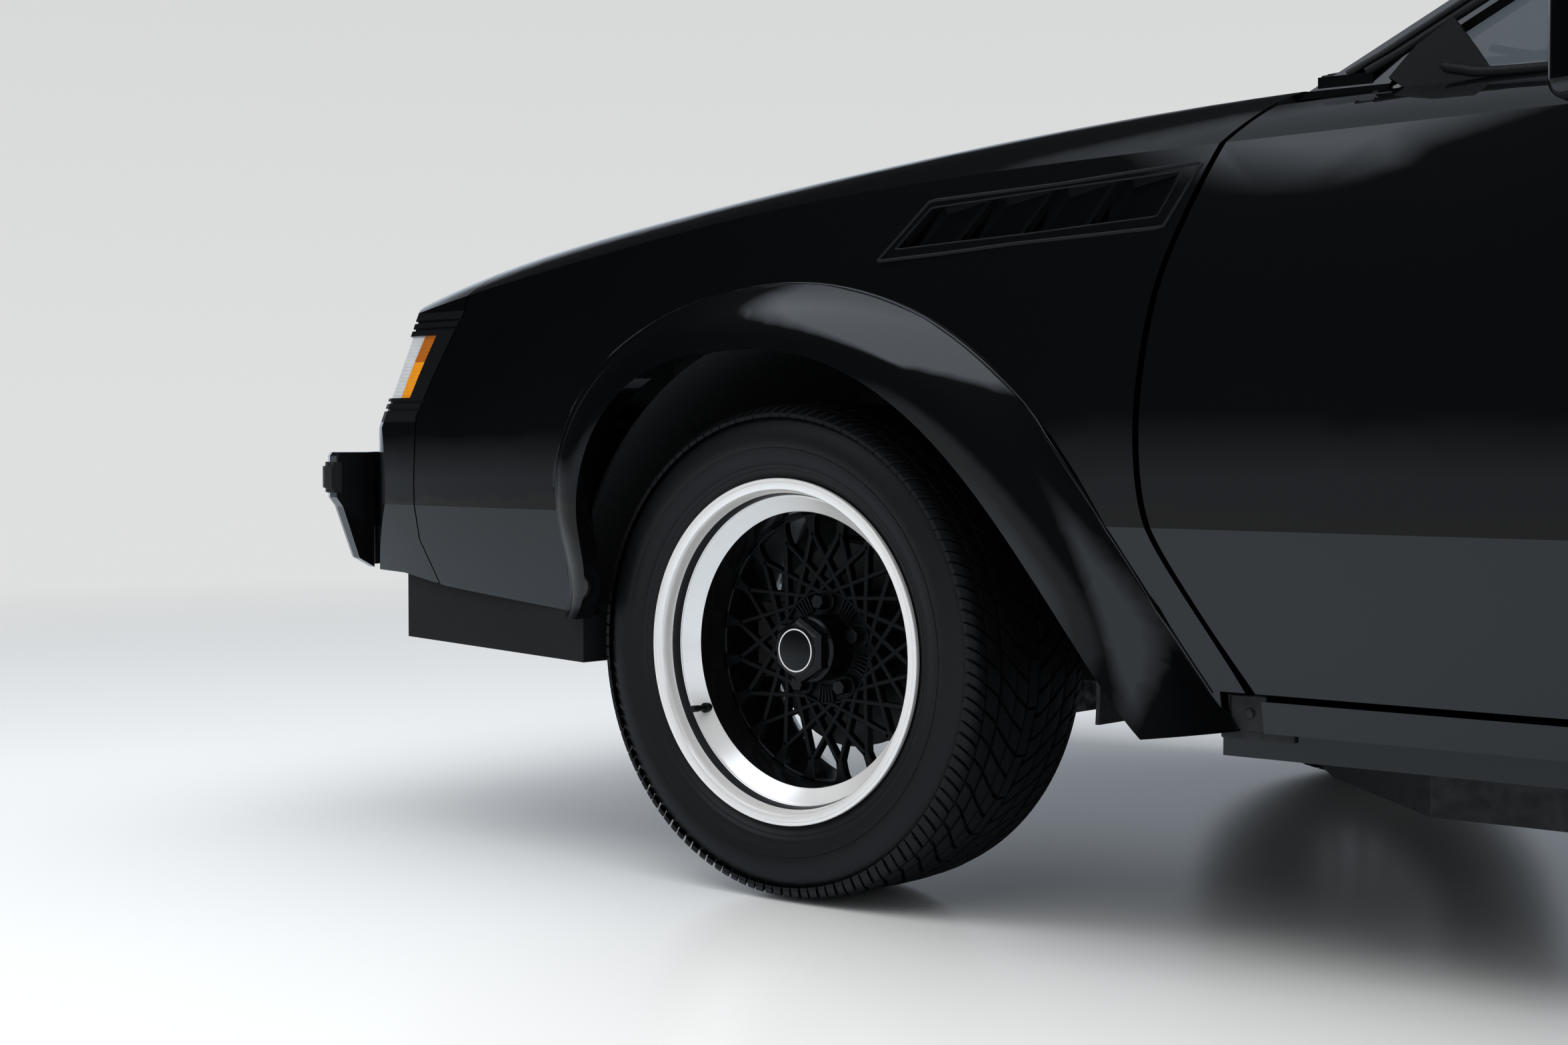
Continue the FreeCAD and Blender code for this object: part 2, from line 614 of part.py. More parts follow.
def quarter_panel():
    region = box(EDGE_IN, 1000, DOOR_REAR_A - 50, TAIL_A - 30 - FIT, SILL_Z - 5, 1100)
    panel = SHELL.common(region).cut(door_outline(PANEL_GAP)).cut(lid_plan(PANEL_GAP))
    panel = panel.cut(box(0, GLASS_BASE_X - 80, 1800, LID_FRONT_A, 200, 1100))
    panel = panel.cut(opening(under_flare(ARCH_REAR, SEAM_REAR), WHEELBASE)).cut(TRIMS[1]).cut(TAIL_CUT)
    panel = panel.cut(box(0, 1000, 1800, WHEELBASE - 480, SILL_Z - 5, DOOR_BOTTOM_Z - PANEL_GAP))
    start = DOOR_REAR_A + PANEL_GAP
    pillar = BODY.common(box(FLOOR_HALF, 1000, start, start + 80, DOOR_BOTTOM_Z - PANEL_GAP, 1100))
    trim = box(FLOOR_HALF, FLOOR_HALF + 8, start, BULKHEAD_A, DOOR_BOTTOM_Z - PANEL_GAP, BELT_Z - 30)
    trim = trim.cut(rear_wheel_space())
    striker = box(HALF_WIDTH - 28, HALF_WIDTH - 16, DOOR_REAR_A - 0.1, start + 5, 590, 610)
    panel = panel.fuse(flare(ARCH_REAR, SEAM_REAR, WHEELBASE)).fuse(pillar).fuse(trim).fuse(striker)
    panel = panel.fuse(hinge_pin(LID_HINGE_X, LID_HINGE_A, LID_HINGE_Z, LID_X + PANEL_GAP + 2))
    return largest(panel)


def rear_wheel_space():
    """Room that the rear wheel and its liner need, left side."""
    axle, x = WHEELBASE - 20, REAR_WELL_X - FIT
    drum = rod((x, at(axle), 330), (x + 400, at(axle), 330), REAR_WELL_R + 5 + FIT)
    below = box(x, x + 400, axle - REAR_WELL_R - 6, axle + REAR_WELL_R + 6, 100, 330)
    return drum.fuse(below)


def rocker():
    region = box(FLOOR_HALF, 1000, 700, WHEELBASE - 520, SILL_Z - 5, DOOR_BOTTOM_Z - PANEL_GAP)
    body = BODY.common(region)
    pinch = box(HALF_WIDTH - 110, HALF_WIDTH - 60, 640, WHEELBASE - 540, 242, SILL_Z)
    return body.fuse(pinch)


LAMP_W = 170.0
LAMP_H = 104.0
LAMP_Z = 693.0
LAMP_X_INNER = 474.0
LAMP_X_OUTER = 656.0
LAMP_CORNER_X = 748.0
GRILLE_X = 372.0
GRILLE_Z0 = 616.0
GRILLE_Z1 = 768.0
GRILLE_PITCH = 23.0
BEZEL_Z0 = 613.0
BEZEL_Z1 = 772.0
BEZEL_T = 12.0
LENS_REAR = [(NOSE_SEAM_A + 26, 739), (NOSE_SEAM_A - 22, 648)]
LENS_SPLIT = [(NOSE_SEAM_A - 8, 739), (NOSE_SEAM_A - 50, 648)]


def leaning(x0, x1, z0, z1, front, rear):
    """Block parallel to the leaning front of the nose, its faces at front and rear behind it."""
    outline = [(nose_face(z0) + front, z0), (nose_face(z1) + front, z1), (nose_face(z1) + rear, z1),
               (nose_face(z0) + rear, z0)]
    return prism_x(outline, x0, x1)


def ahead_of(line, x0, grow=0.0):
    """Everything ahead of a leaning side-view line at the lamp's height, from x0 outward."""
    (a0, z0), (a1, z1) = line
    outline = [(a0 + grow, z0 + grow), (a1 + grow, z1 - grow), (-1200, z1 - grow), (-1200, z0 + grow)]
    return prism_x(outline, x0, 1000)


def bezel_zone():
    """Band round the nose corner that the lamp bezel fills, left side."""
    return box(GRILLE_X + 4, 1000, -1200, -400, BEZEL_Z0, BEZEL_Z1)


def nose_region():
    """Everything ahead of the seam between nose and fender."""
    seam = [(a - NOSE_GAP, z) for a, z in NOSE_SEAM]
    return prism_x(seam + [(-1200, 1100), (-1200, 200)], -1000, 1000)


def nose_panel():
    region = nose_region().cut(box(-1000, 1000, -1200, 0, 200, 380))
    panel = SHELL.common(region).cut(hood_plan(PANEL_GAP)).cut(TRIMS[0])
    front = prism_x([(-1200, 380), (NOSE_A + 80, 380), (NOSE_A + 80, LAMP_LOW_Z), (nose_face(780) + 80, 780),
                     (-1200, 780)], -1000, 1000)
    filler = BODY.common(region).common(front).cut(TRIMS[0])
    panel = panel.fuse(filler).cut(box(-780, 780, NOSE_A - 60, NOSE_A + 200, 200, 575))
    panel = panel.fuse(bumper_shelf(FRONT_BUMPER_BACK, 1, NOSE_A + 60, 561, 577))
    recess = bezel_zone().cut(BEZEL_BACK)
    panel = panel.cut(recess).cut(mirrored(recess))
    for x in (LAMP_X_INNER, LAMP_X_OUTER):
        cut = leaning(x - LAMP_W / 2, x + LAMP_W / 2, LAMP_Z - LAMP_H / 2, LAMP_Z + LAMP_H / 2, -80, 130)
        panel = panel.cut(cut).cut(mirrored(cut))
    return panel.cut(leaning(-GRILLE_X, GRILLE_X, GRILLE_Z0, GRILLE_Z1, -80, 200))


def lamp_bezels():
    """Black surround of the lamps, with two steps above and below them."""
    band = bezel_zone().common(nose_region()).common(BODY).cut(BEZEL_BACK)
    for x in (LAMP_X_INNER, LAMP_X_OUTER):
        band = band.cut(leaning(x - LAMP_W / 2, x + LAMP_W / 2, LAMP_Z - LAMP_H / 2, LAMP_Z + LAMP_H / 2,
                                -80, 130))
    band = band.cut(ahead_of(LENS_REAR, LAMP_CORNER_X))
    step = bezel_zone().cut(BODY_STEP)
    for z0, z1 in ((629, 633), (640, 644), (746, 750), (757, 761)):
        band = band.cut(step.common(box(GRILLE_X, 1000, -1200, 0, z0, z1)))
    return band


def corner_lens(zone):
    return zone.common(BODY_STEP).cut(BEZEL_BACK)


def headlamps():
    lamps = []
    for x in (LAMP_X_INNER, LAMP_X_OUTER):
        lamp = leaning(x - LAMP_W / 2 + FIT, x + LAMP_W / 2 - FIT, LAMP_Z - LAMP_H / 2 + FIT,
                       LAMP_Z + LAMP_H / 2 - FIT, 10, 70)
        lamps += [lamp, mirrored(lamp)]
    lens = largest(corner_lens(ahead_of(LENS_SPLIT, LAMP_CORNER_X + FIT, -FIT)))
    return Part.makeCompound(lamps + [lens, mirrored(lens)])


def marker_lamps():
    zone = ahead_of(LENS_REAR, LAMP_CORNER_X + FIT, -FIT).cut(ahead_of(LENS_SPLIT, LAMP_CORNER_X))
    lens = largest(corner_lens(zone))
    return Part.makeCompound([lens, mirrored(lens)])


def grille():
    """Frame with upright bars and one cross bar."""
    z0, z1, x = GRILLE_Z0 + FIT, GRILLE_Z1 - FIT, GRILLE_X - FIT
    back = leaning(-x, x, z0, z1, 34, 58)
    rim = leaning(-x, x, z0, z1, 4, 36).cut(leaning(16 - x, x - 16, z0 + 14, z1 - 14, -10, 90))
    bars = [back, rim, leaning(-x, x, (z0 + z1) / 2 - 4, (z0 + z1) / 2 + 4, 10, 36)]
    count = int((x - 20) / GRILLE_PITCH)
    for i in range(-count, count + 1):
        bars.append(leaning(i * GRILLE_PITCH - 3, i * GRILLE_PITCH + 3, z0, z1, 8, 36))
    return fused(bars)


BEZEL_BACK = body_form(BEZEL_T)
BODY_STEP = body_form(3)


def swept(path, section):
    """Form along a plan path of (x, a), its section of (out, z) points square to the path."""
    wires = []
    for i, (x, a) in enumerate(path):
        x0, a0 = path[max(i - 1, 0)]
        x1, a1 = path[min(i + 1, len(path) - 1)]
        length = math.hypot(x1 - x0, a1 - a0)
        nx, na = (a1 - a0) / length, (x0 - x1) / length
        wires.append(closed_wire([Vector(x + out * nx, at(a + out * na), z) for out, z in section]))
    return Part.makeLoft(wires, True, True)


BUMPER_PLAN = [(0, 0), (300, 5), (520, 18), (680, 40), (780, 72), (832, 110), (860, 150), (868, 176)]
BUMPER_SECTION = [(-4, 568), (0, 562), (0, 500), (-10, 486), (-22, 450), (-36, 408), (-60, 394), (-60, 430),
                  (-60, 568)]
STRIP_SECTION = [(8, 514), (8, 546), (4, 547), (4, 553), (-8, 553), (-8, 507), (4, 507), (4, 513)]


def bumper_path(end_a, sign, narrow=0.0):
    """Plan path of a bumper's face; sign is 1 at the front and -1 at the rear."""
    half = [(x * (1 - narrow / 868), end_a + sign * back) for x, back in BUMPER_PLAN]
    whole = [(-x, a) for x, a in reversed(half)] + half[1:]
    return whole if sign > 0 else whole[::-1]


def bumper_bar(front_a, sign, z0, z1, deep, wrap, half):
    """Bumper seen from above: a bowed face with swept-back ends."""
    def a(v):
        return front_a + sign * v
    outer = [(0, a(0)), (420, a(14)), (half - 110, a(62)), (half - 30, a(130)), (half, a(wrap))]
    inner = [(half - 60, a(wrap)), (half - 150, a(deep + 60)), (420, a(deep + 14)), (0, a(deep))]
    pts = outer + inner
    full = pts + [(-x, v) for x, v in reversed(pts) if x > 0]
    return prism_z(full, z0, z1)


REAR_END_A = WHEELBASE + REAR_OVERHANG
STRIP_PROUD = 8.0
FRONT_BUMPER = bumper_path(STRIP_PROUD - FRONT_OVERHANG, 1)
REAR_BUMPER = bumper_path(REAR_END_A - STRIP_PROUD, -1, 10)
FRONT_BUMPER_BACK = STRIP_PROUD - FRONT_OVERHANG + 65
REAR_BUMPER_BACK = REAR_END_A - STRIP_PROUD - 65


def bumper_shelf(back_a, sign, body_a, z0, z1):
    """Filler between the bumper's back and the body."""
    half = [(0, 0), (300, 5), (520, 19), (680, 43), (720, 56)]
    edge = [(x, back_a + sign * back) for x, back in half]
    plan = [(-720, body_a)] + [(-x, a) for x, a in reversed(edge)] + edge[1:] + [(720, body_a)]
    return prism_z(plan, z0, z1)


def front_bumper():
    bar = swept(FRONT_BUMPER, BUMPER_SECTION).cut(swept(FRONT_BUMPER, STRIP_SECTION))
    stay = box(FRAME_X - 35, FRAME_X + 35, 60 - FRONT_OVERHANG, -760, 440, 500)
    return fused([bar, stay, mirrored(stay)])


def bumper_strips():
    return Part.makeCompound([swept(FRONT_BUMPER, STRIP_SECTION), swept(REAR_BUMPER, STRIP_SECTION)])


def rear_bumper():
    bar = swept(REAR_BUMPER, BUMPER_SECTION).cut(swept(REAR_BUMPER, STRIP_SECTION))
    stay = box(435, 505, WHEELBASE + 1094, REAR_END_A - 70, 400, 446)
    return fused([bar, stay, mirrored(stay)])


def air_dam():
    blade = bumper_bar(-872, 1, 284, 402, 14, 530, 868)
    blade = blade.cut(box(-1000, 1000, -378, -300, 348.5, 460))
    below = prism_x([(-1000, 200), (-1000, 297), (-757, 297), (-330, 284), (-330, 200)], -1000, 1000)
    above = prism_x([(a, z - FIT) for a, z in LOWER_EDGE[:4]] + [(-300, 460), (-1200, 460)], -1000, 1000)
    return blade.cut(below).cut(above)


def tail_panel():
    plate = BODY.common(box(-1000, 1000, TAIL_A - 30, TAIL_A, 400, 1100))
    plate = plate.cut(lid_zone(PANEL_GAP)).cut(TAIL_CUT)
    for sign in (1, -1):
        plate = plate.cut(box(min(sign * 400, sign * 770), max(sign * 400, sign * 770),
                              TAIL_A - 60, TAIL_A + 10, 640, 850))
    return plate.fuse(bumper_shelf(REAR_BUMPER_BACK, -1, TAIL_A - 25, 576, 592))


def tail_lamps():
    lamp = box(400 + FIT, 770 - FIT, TAIL_A - 42, TAIL_A + 6, 640 + FIT, 850 - FIT)
    return both(lamp)


def rail(sections, width, height):
    wires = []
    for x, a, z in sections:
        w, h = width / 2, height / 2
        wires.append(closed_wire([Vector(x - w, at(a), z - h), Vector(x + w, at(a), z - h),
                                  Vector(x + w, at(a), z + h), Vector(x - w, at(a), z + h)]))
    return Part.makeLoft(wires, True, True)


def side_rail(clear=0.0):
    path = [(FRAME_X, -760, 430), (FRAME_X, -330, 400), (FRAME_X, 330, 360), (560, 640, 235), (640, 800, 215),
            (640, WHEELBASE - 666, 215), (560, WHEELBASE - 446, 262), (500, WHEELBASE - 266, 400),
            (500, WHEELBASE - 126, 480), (500, WHEELBASE + 154, 480), (500, WHEELBASE + 554, 410),
            (470, WHEELBASE + 1094, 400)]
    return rail(path, RAIL_W + 2 * clear, RAIL_H + 2 * clear)


def chassis_frame():
    side = side_rail()
    cross = [box(-FRAME_X, FRAME_X, -730, -680, 390, 460),
             box(-560, 560, 700, 760, CROSS_Z, CROSS_Z + CROSS_T),
             box(-640, 640, WHEELBASE - 746, WHEELBASE - 686, CROSS_Z, CROSS_Z + CROSS_T),
             box(-500, 500, WHEELBASE + 154, WHEELBASE + 204, 450, 510),
             box(-470, 470, WHEELBASE + 1034, WHEELBASE + 1084, 350, 400)]
    return fused([side, mirrored(side)] + cross)


def wheel_well(axle_a, centre_a, centre_z, radius, x0, x1, low_front, low_rear):
    """Half-round liner over a wheel, with its inner wall."""
    wall = 5.0
    y = at(axle_a + centre_a)
    outer = rod((x0, y, centre_z), (x1, y, centre_z), radius + wall)
    inner = rod((x0 + wall, y, centre_z), (x1 + wall, y, centre_z), radius)
    keep_above = box(x0 - 1, x1 + 1, axle_a - 900, axle_a, low_front, 1200)
    keep_above = keep_above.fuse(box(x0 - 1, x1 + 1, axle_a, axle_a + 900, low_rear, 1200))
    return outer.cut(inner).common(keep_above)


def wheel_wells():
    inner_x = FRAME_X + RAIL_W / 2 + FIT
    front = wheel_well(0, 42, 300, 432, inner_x, HALF_WIDTH - 60, 360, 262)
    front = front.cut(box(400, inner_x + 20, -240, 260, 290, 560)).cut(side_rail(FIT))
    rear = wheel_well(WHEELBASE, -20, 330, REAR_WELL_R, REAR_WELL_X, HALF_WIDTH - 60, 330, 330)
    rear = rear.cut(side_rail(5)).cut(box(540, 560, WHEELBASE - 60, WHEELBASE + 60, 300, 420))
    return front, rear


def floor_pan():
    half = FLOOR_HALF
    step_a = WHEELBASE - 696
    well_a = WHEELBASE + 324
    parts = [
        box(-half, half, FIREWALL_A, step_a, 286, 300),
        box(-half, half, step_a - 14, step_a, 286, 397),
        box(-half, half, step_a - 14, BULKHEAD_A, 385, 397),
        box(-half, half, FIREWALL_A, FIREWALL_A + 14, 286, 880),
        box(-half, half, BULKHEAD_A, BULKHEAD_A + 14, 385, 905),
        box(-560, 560, BULKHEAD_A, well_a, 545, 557),
        box(-560, 560, well_a - 12, well_a, 400, 557),
        box(-640, 640, well_a - 12, WHEELBASE + 1092, 400, 412),
        box(-half, half, BULKHEAD_A, LID_FRONT_A - 20, 891, 905),
    ]
    tunnel = prism_y([(-150, 286), (-120, 470), (120, 470), (150, 286)], FIREWALL_A, BULKHEAD_A)
    tunnel_in = prism_y([(-138, 270), (-108, 458), (108, 458), (138, 270)], FIREWALL_A - 20, BULKHEAD_A + 30)
    pillar = box(FLOOR_HALF - 14, HALF_WIDTH - 66, FIREWALL_A - 40, FIREWALL_A - 12, 320, 870)
    sides = box(FLOOR_HALF - 14, FLOOR_HALF, FIREWALL_A - 40, FIREWALL_A + 14, 320, 880)
    pan = fused(parts + [tunnel, pillar, mirrored(pillar), sides, mirrored(sides)]).cut(tunnel_in)
    for cut in (side_rail(5), rear_wheel_space()):
        pan = pan.cut(cut).cut(mirrored(cut))
    return pan


def front_suspension():
    z_low, z_high = TYRE_R - 110, TYRE_R + 110
    ball_x = KINGPIN_X - 12

    def arm(z, inner_x, half):
        return prism_z([(ball_x, -24), (ball_x, 24), (inner_x, half), (inner_x, -half)], z - 12, z + 12)
    left = [arm(z_low, 380, 95), arm(z_high, FRAME_X + RAIL_W / 2 + FIT, 90)]
    spring = Part.makeCylinder(52, z_high - z_low, Vector(500, at(0), z_low), Vector(0, 0, 1))
    cross = box(-FRAME_X, FRAME_X, -110, 110, 205, 290)
    left = fused(left + [spring])
    return fused([cross, left, mirrored(left)])


KINGPIN_X = 690.0


def knuckle():
    """Steering knuckle: upright between the ball joints, with the spindle and the brake disc."""
    z = TYRE_R
    upright = box(KINGPIN_X - 26, KINGPIN_X + 2, -30, 30, z - 98 + FIT, z + 98 - FIT)
    spindle = rod((KINGPIN_X, at(0), z), (WHEEL_X_FRONT + 20, at(0), z), SPINDLE_R)
    caliper = box(KINGPIN_X - 20, KINGPIN_X + 30, -155, -95, z - 50, z + 50)
    bracket = box(KINGPIN_X - 20, KINGPIN_X, -110, -20, z - 30, z + 30)
    return fused([upright, spindle, caliper, bracket])


def wheel_mesh():
    """Flat mesh of stems and crossing bars, pushed to its thickness."""
    def disc(radius):
        return Part.Face(Part.Wire(Part.makeCircle(radius, Vector(0, 0, 0), Vector(1, 0, 0))))

    def turned(points, turn):
        c, s = math.cos(turn), math.sin(turn)
        return Part.Face(closed_wire([Vector(0, p * c - q * s, p * s + q * c) for p, q in points]))

    faces = [disc(LATTICE_R + 5).cut(disc(LATTICE_R)), disc(BAR_END_R + 2)]
    tip = math.radians(BAR_TURN)
    ends = (Vector(FORK_R, 0, 0), Vector(BAR_END_R * math.cos(tip), BAR_END_R * math.sin(tip), 0))
    run = (ends[1] - ends[0]).normalize()
    side = Vector(-run.y, run.x, 0) * (BAR_W / 2)
    corners = [ends[0] - run * 2 + side, ends[1] + side, ends[1] - side, ends[0] - run * 2 - side]
    bar = [(p.x, p.y) for p in corners]
    stem = [(LATTICE_R + 2, -12), (LATTICE_R - 6, -7.5), (FORK_R + 8, -5.2), (FORK_R - 3, -5.2),
            (FORK_R - 3, 5.2), (FORK_R + 8, 5.2), (LATTICE_R - 6, 7.5), (LATTICE_R + 2, 12)]
    for i in range(LATTICE_COUNT):
        turn = 2 * math.pi * (i + 0.5) / LATTICE_COUNT
        faces += [turned(stem, turn), turned(bar, turn), turned([(p, -q) for p, q in bar], turn)]
    bars = [face.extrude(Vector(LATTICE_T, 0, 0)) for face in faces]
    mesh = bars[0].multiFuse(bars[1:]).removeSplitter()
    mesh.translate(Vector(LATTICE_X - LATTICE_T, 0, 0))
    return mesh


def wheel_rim(width):
    """Rim, deep polished dish, mesh centre and hex cap as one casting, its face towards +X."""
    w = width / 2
    barrel = revolve_x([
        (w, RIM_FLANGE_R), (w, 213), (w - 2, 212.4), (w - 2, 211), (w, 210.4), (w, 206), (w - 5, 199.5),
        (w - 20, 197), (w - 60, 179.5), (w - 60, 178), (-18, 178), (-w + 40, 184), (-w + 6, 198), (-w, 205),
        (-w, RIM_FLANGE_R), (-w + 7, RIM_FLANGE_R), (-w + 10, BEAD_R), (-w + 42, BEAD_R - 4),
        (-w + 60, 188), (w - 62, 188), (w - 44, BEAD_R - 4), (w - 10, BEAD_R), (w - 7, RIM_FLANGE_R)])
    bore = SPINDLE_R + FIT
    hub = revolve_x([(LATTICE_X + 2, 0), (LATTICE_X + 2, BAR_END_R), (-20, BAR_END_R), (-20, 0)])
    boss = revolve_x([(60, 0), (60, 44), (LATTICE_X, 44), (LATTICE_X, 0)])
    corners = [math.radians(60 * i) for i in range(6)]
    hexagon = [Vector(58, CAP_R * math.sin(t), CAP_R * math.cos(t)) for t in corners]
    cap = Part.Face(closed_wire(hexagon)).extrude(Vector(22, 0, 0))
    cap = cap.common(revolve_x([(50, 0), (50, 44), (72, 44), (80, 36), (80, 0)]))
    axle_hole = Part.makeCylinder(bore, LATTICE_X + 29, Vector(-30, 0, 0), Vector(1, 0, 0))
    return fused([barrel, wheel_mesh(), hub, boss, cap]).cut(axle_hole)


TYRE_FACETS = 48


def tyre(width):
    """Hollow tyre of flat faces, standing on a corner so that it touches z = 0."""
    w, b = width / 2, RIM_W / 2 - 11
    bead = (BEAD_R + FIT) / math.cos(math.pi / TYRE_FACETS)
    half = [(w - 24, TYRE_R), (w - 5, TYRE_R - 16), (w, 264), (b, RIM_FLANGE_R + 2), (b, bead),
            (b - 22, bead), (w - 20, TYRE_R - 26)]
    return faceted_ring(half + [(-x, r) for x, r in reversed(half)], TYRE_FACETS)


def rear_axle():
    z = TYRE_R
    tube = rod((-WHEEL_X_REAR + 60, at(WHEELBASE), z), (WHEEL_X_REAR - 60, at(WHEELBASE), z), 38)
    diff = turned_y([(WHEELBASE - 200, 0), (WHEELBASE - 200, 42), (WHEELBASE - 110, 60),
                     (WHEELBASE - 70, 122), (WHEELBASE + 30, 128), (WHEELBASE + 78, 96),
                     (WHEELBASE + 78, 0)], 0, z)
    drums = [Part.makeCylinder(132, 60, Vector(WHEEL_X_REAR - 95, at(WHEELBASE), z), Vector(1, 0, 0))]
    drums.append(mirrored(drums[0]))
    ends = [rod((WHEEL_X_REAR - 60, at(WHEELBASE), z), (WHEEL_X_REAR + 20, at(WHEELBASE), z), SPINDLE_R)]
    ends.append(mirrored(ends[0]))
    arm = box(380, 430, WHEELBASE - 686, WHEELBASE + 20, CROSS_Z, CROSS_Z + CROSS_T)
    mount = box(380, 430, WHEELBASE - 40, WHEELBASE + 20, CROSS_Z, z + 10)
    rail_low = 480 - RAIL_H / 2
    spring = Part.makeCylinder(48, rail_low - z - FIT, Vector(500, at(WHEELBASE), z), Vector(0, 0, 1))
    return fused([tube, diff] + drums + ends + [arm, mirrored(arm), mount, mirrored(mount), spring,
                                                mirrored(spring)])


def driveline():
    low = CROSS_Z + CROSS_T
    gearbox = prism_y([(-95, low), (-95, 400), (-60, 440), (60, 440), (95, 400), (95, low)], 215, 900)
    shaft = rod((0, at(900), 320), (0, at(WHEELBASE - 200 - FIT), TYRE_R), 36)
    return gearbox.fuse(shaft)


def exhaust():
    run = CROSS_Z - 30 - FIT
    axle = WHEELBASE
    path = [(170, 300, 250), (210, 640, run), (210, axle - 546, run), (230, axle - 246, 290),
            (250, axle - 81, 410), (250, axle + 144, 400), (470, axle + 314, 300), (560, axle + 454, 300),
            (600, axle + 1214, 300)]
    shapes = []
    for p, q in zip(path, path[1:]):
        shapes.append(rod((p[0], at(p[1]), p[2]), (q[0], at(q[1]), q[2]), 30))
    for p in path[1:-1]:
        shapes.append(Part.makeSphere(30, Vector(p[0], at(p[1]), p[2])))
    return fused(shapes)


def seat(x):
    cushion = box(x - 235, x + 235, 1240, 1760, 430, 560)
    back = prism_x([(1700, 480), (1860, 480), (2010, 1010), (1900, 1020)], x - 230, x + 230)
    head = prism_x([(1925, 1010), (2000, 1005), (2030, 1140), (1955, 1150)], x - 120, x + 120)
    rails = [box(x - 200, x - 160, 1280, 1720, 300, 430), box(x + 160, x + 200, 1280, 1720, 300, 430)]
    return fused([cushion, back, head] + rails)


def rear_seat():
    cushion = box(-640, 640, WHEELBASE - 690, BULKHEAD_A - 105, 397, 560)
    back = prism_x([(BULKHEAD_A - 195, 520), (BULKHEAD_A, 520), (BULKHEAD_A, 880), (BULKHEAD_A - 65, 885)],
                   -640, 640)
    low, high = 150 + FIT, 120 + FIT
    tunnel = prism_y([(-low, 286), (-high, 470 + FIT), (high, 470 + FIT), (low, 286)],
                      WHEELBASE - 746, BULKHEAD_A + 55)
    seat = cushion.fuse(back).cut(tunnel)
    for cut in (side_rail(5), rear_wheel_space()):
        seat = seat.cut(cut).cut(mirrored(cut))
    return seat


def dashboard():
    panel = prism_x([(FIREWALL_A + 14, 860), (FIREWALL_A + 14, 660), (760, 620), (930, 640), (960, 800),
                     (930, 905), (780, 945), (690, 930)], -735, 735)
    console = box(-110, 110, 760, 1600, 470, 640)
    column = Part.makeCylinder(26 + FIT, 400, Vector(0, 0, -400), Vector(0, 0, 1))
    return panel.fuse(console).cut(steering_place(column))


def steering_place(shape):
    shape.rotate(Vector(0, 0, 0), Vector(1, 0, 0), -64)
    shape.translate(Vector(385, at(1130), 860))
    return shape


def steering_wheel():
    turn = [math.radians(t) for t in range(0, 360, 45)]
    circle = [(14 * math.cos(t), 178 + 14 * math.sin(t)) for t in turn]
    ring = faceted_ring(circle, 40)
    ring.rotate(Vector(0, 0, 0), Vector(0, 1, 0), 90)
    hub = Part.makeCylinder(42, 40, Vector(0, 0, -30), Vector(0, 0, 1))
    spokes = [Part.makeBox(340, 30, 10, Vector(-170, -15, -12)),
              Part.makeBox(30, 170, 10, Vector(-15, -170, -12))]
    column = Part.makeCylinder(26, 260, Vector(0, 0, -280), Vector(0, 0, 1))
    return steering_place(fused([ring, hub, column] + spokes))


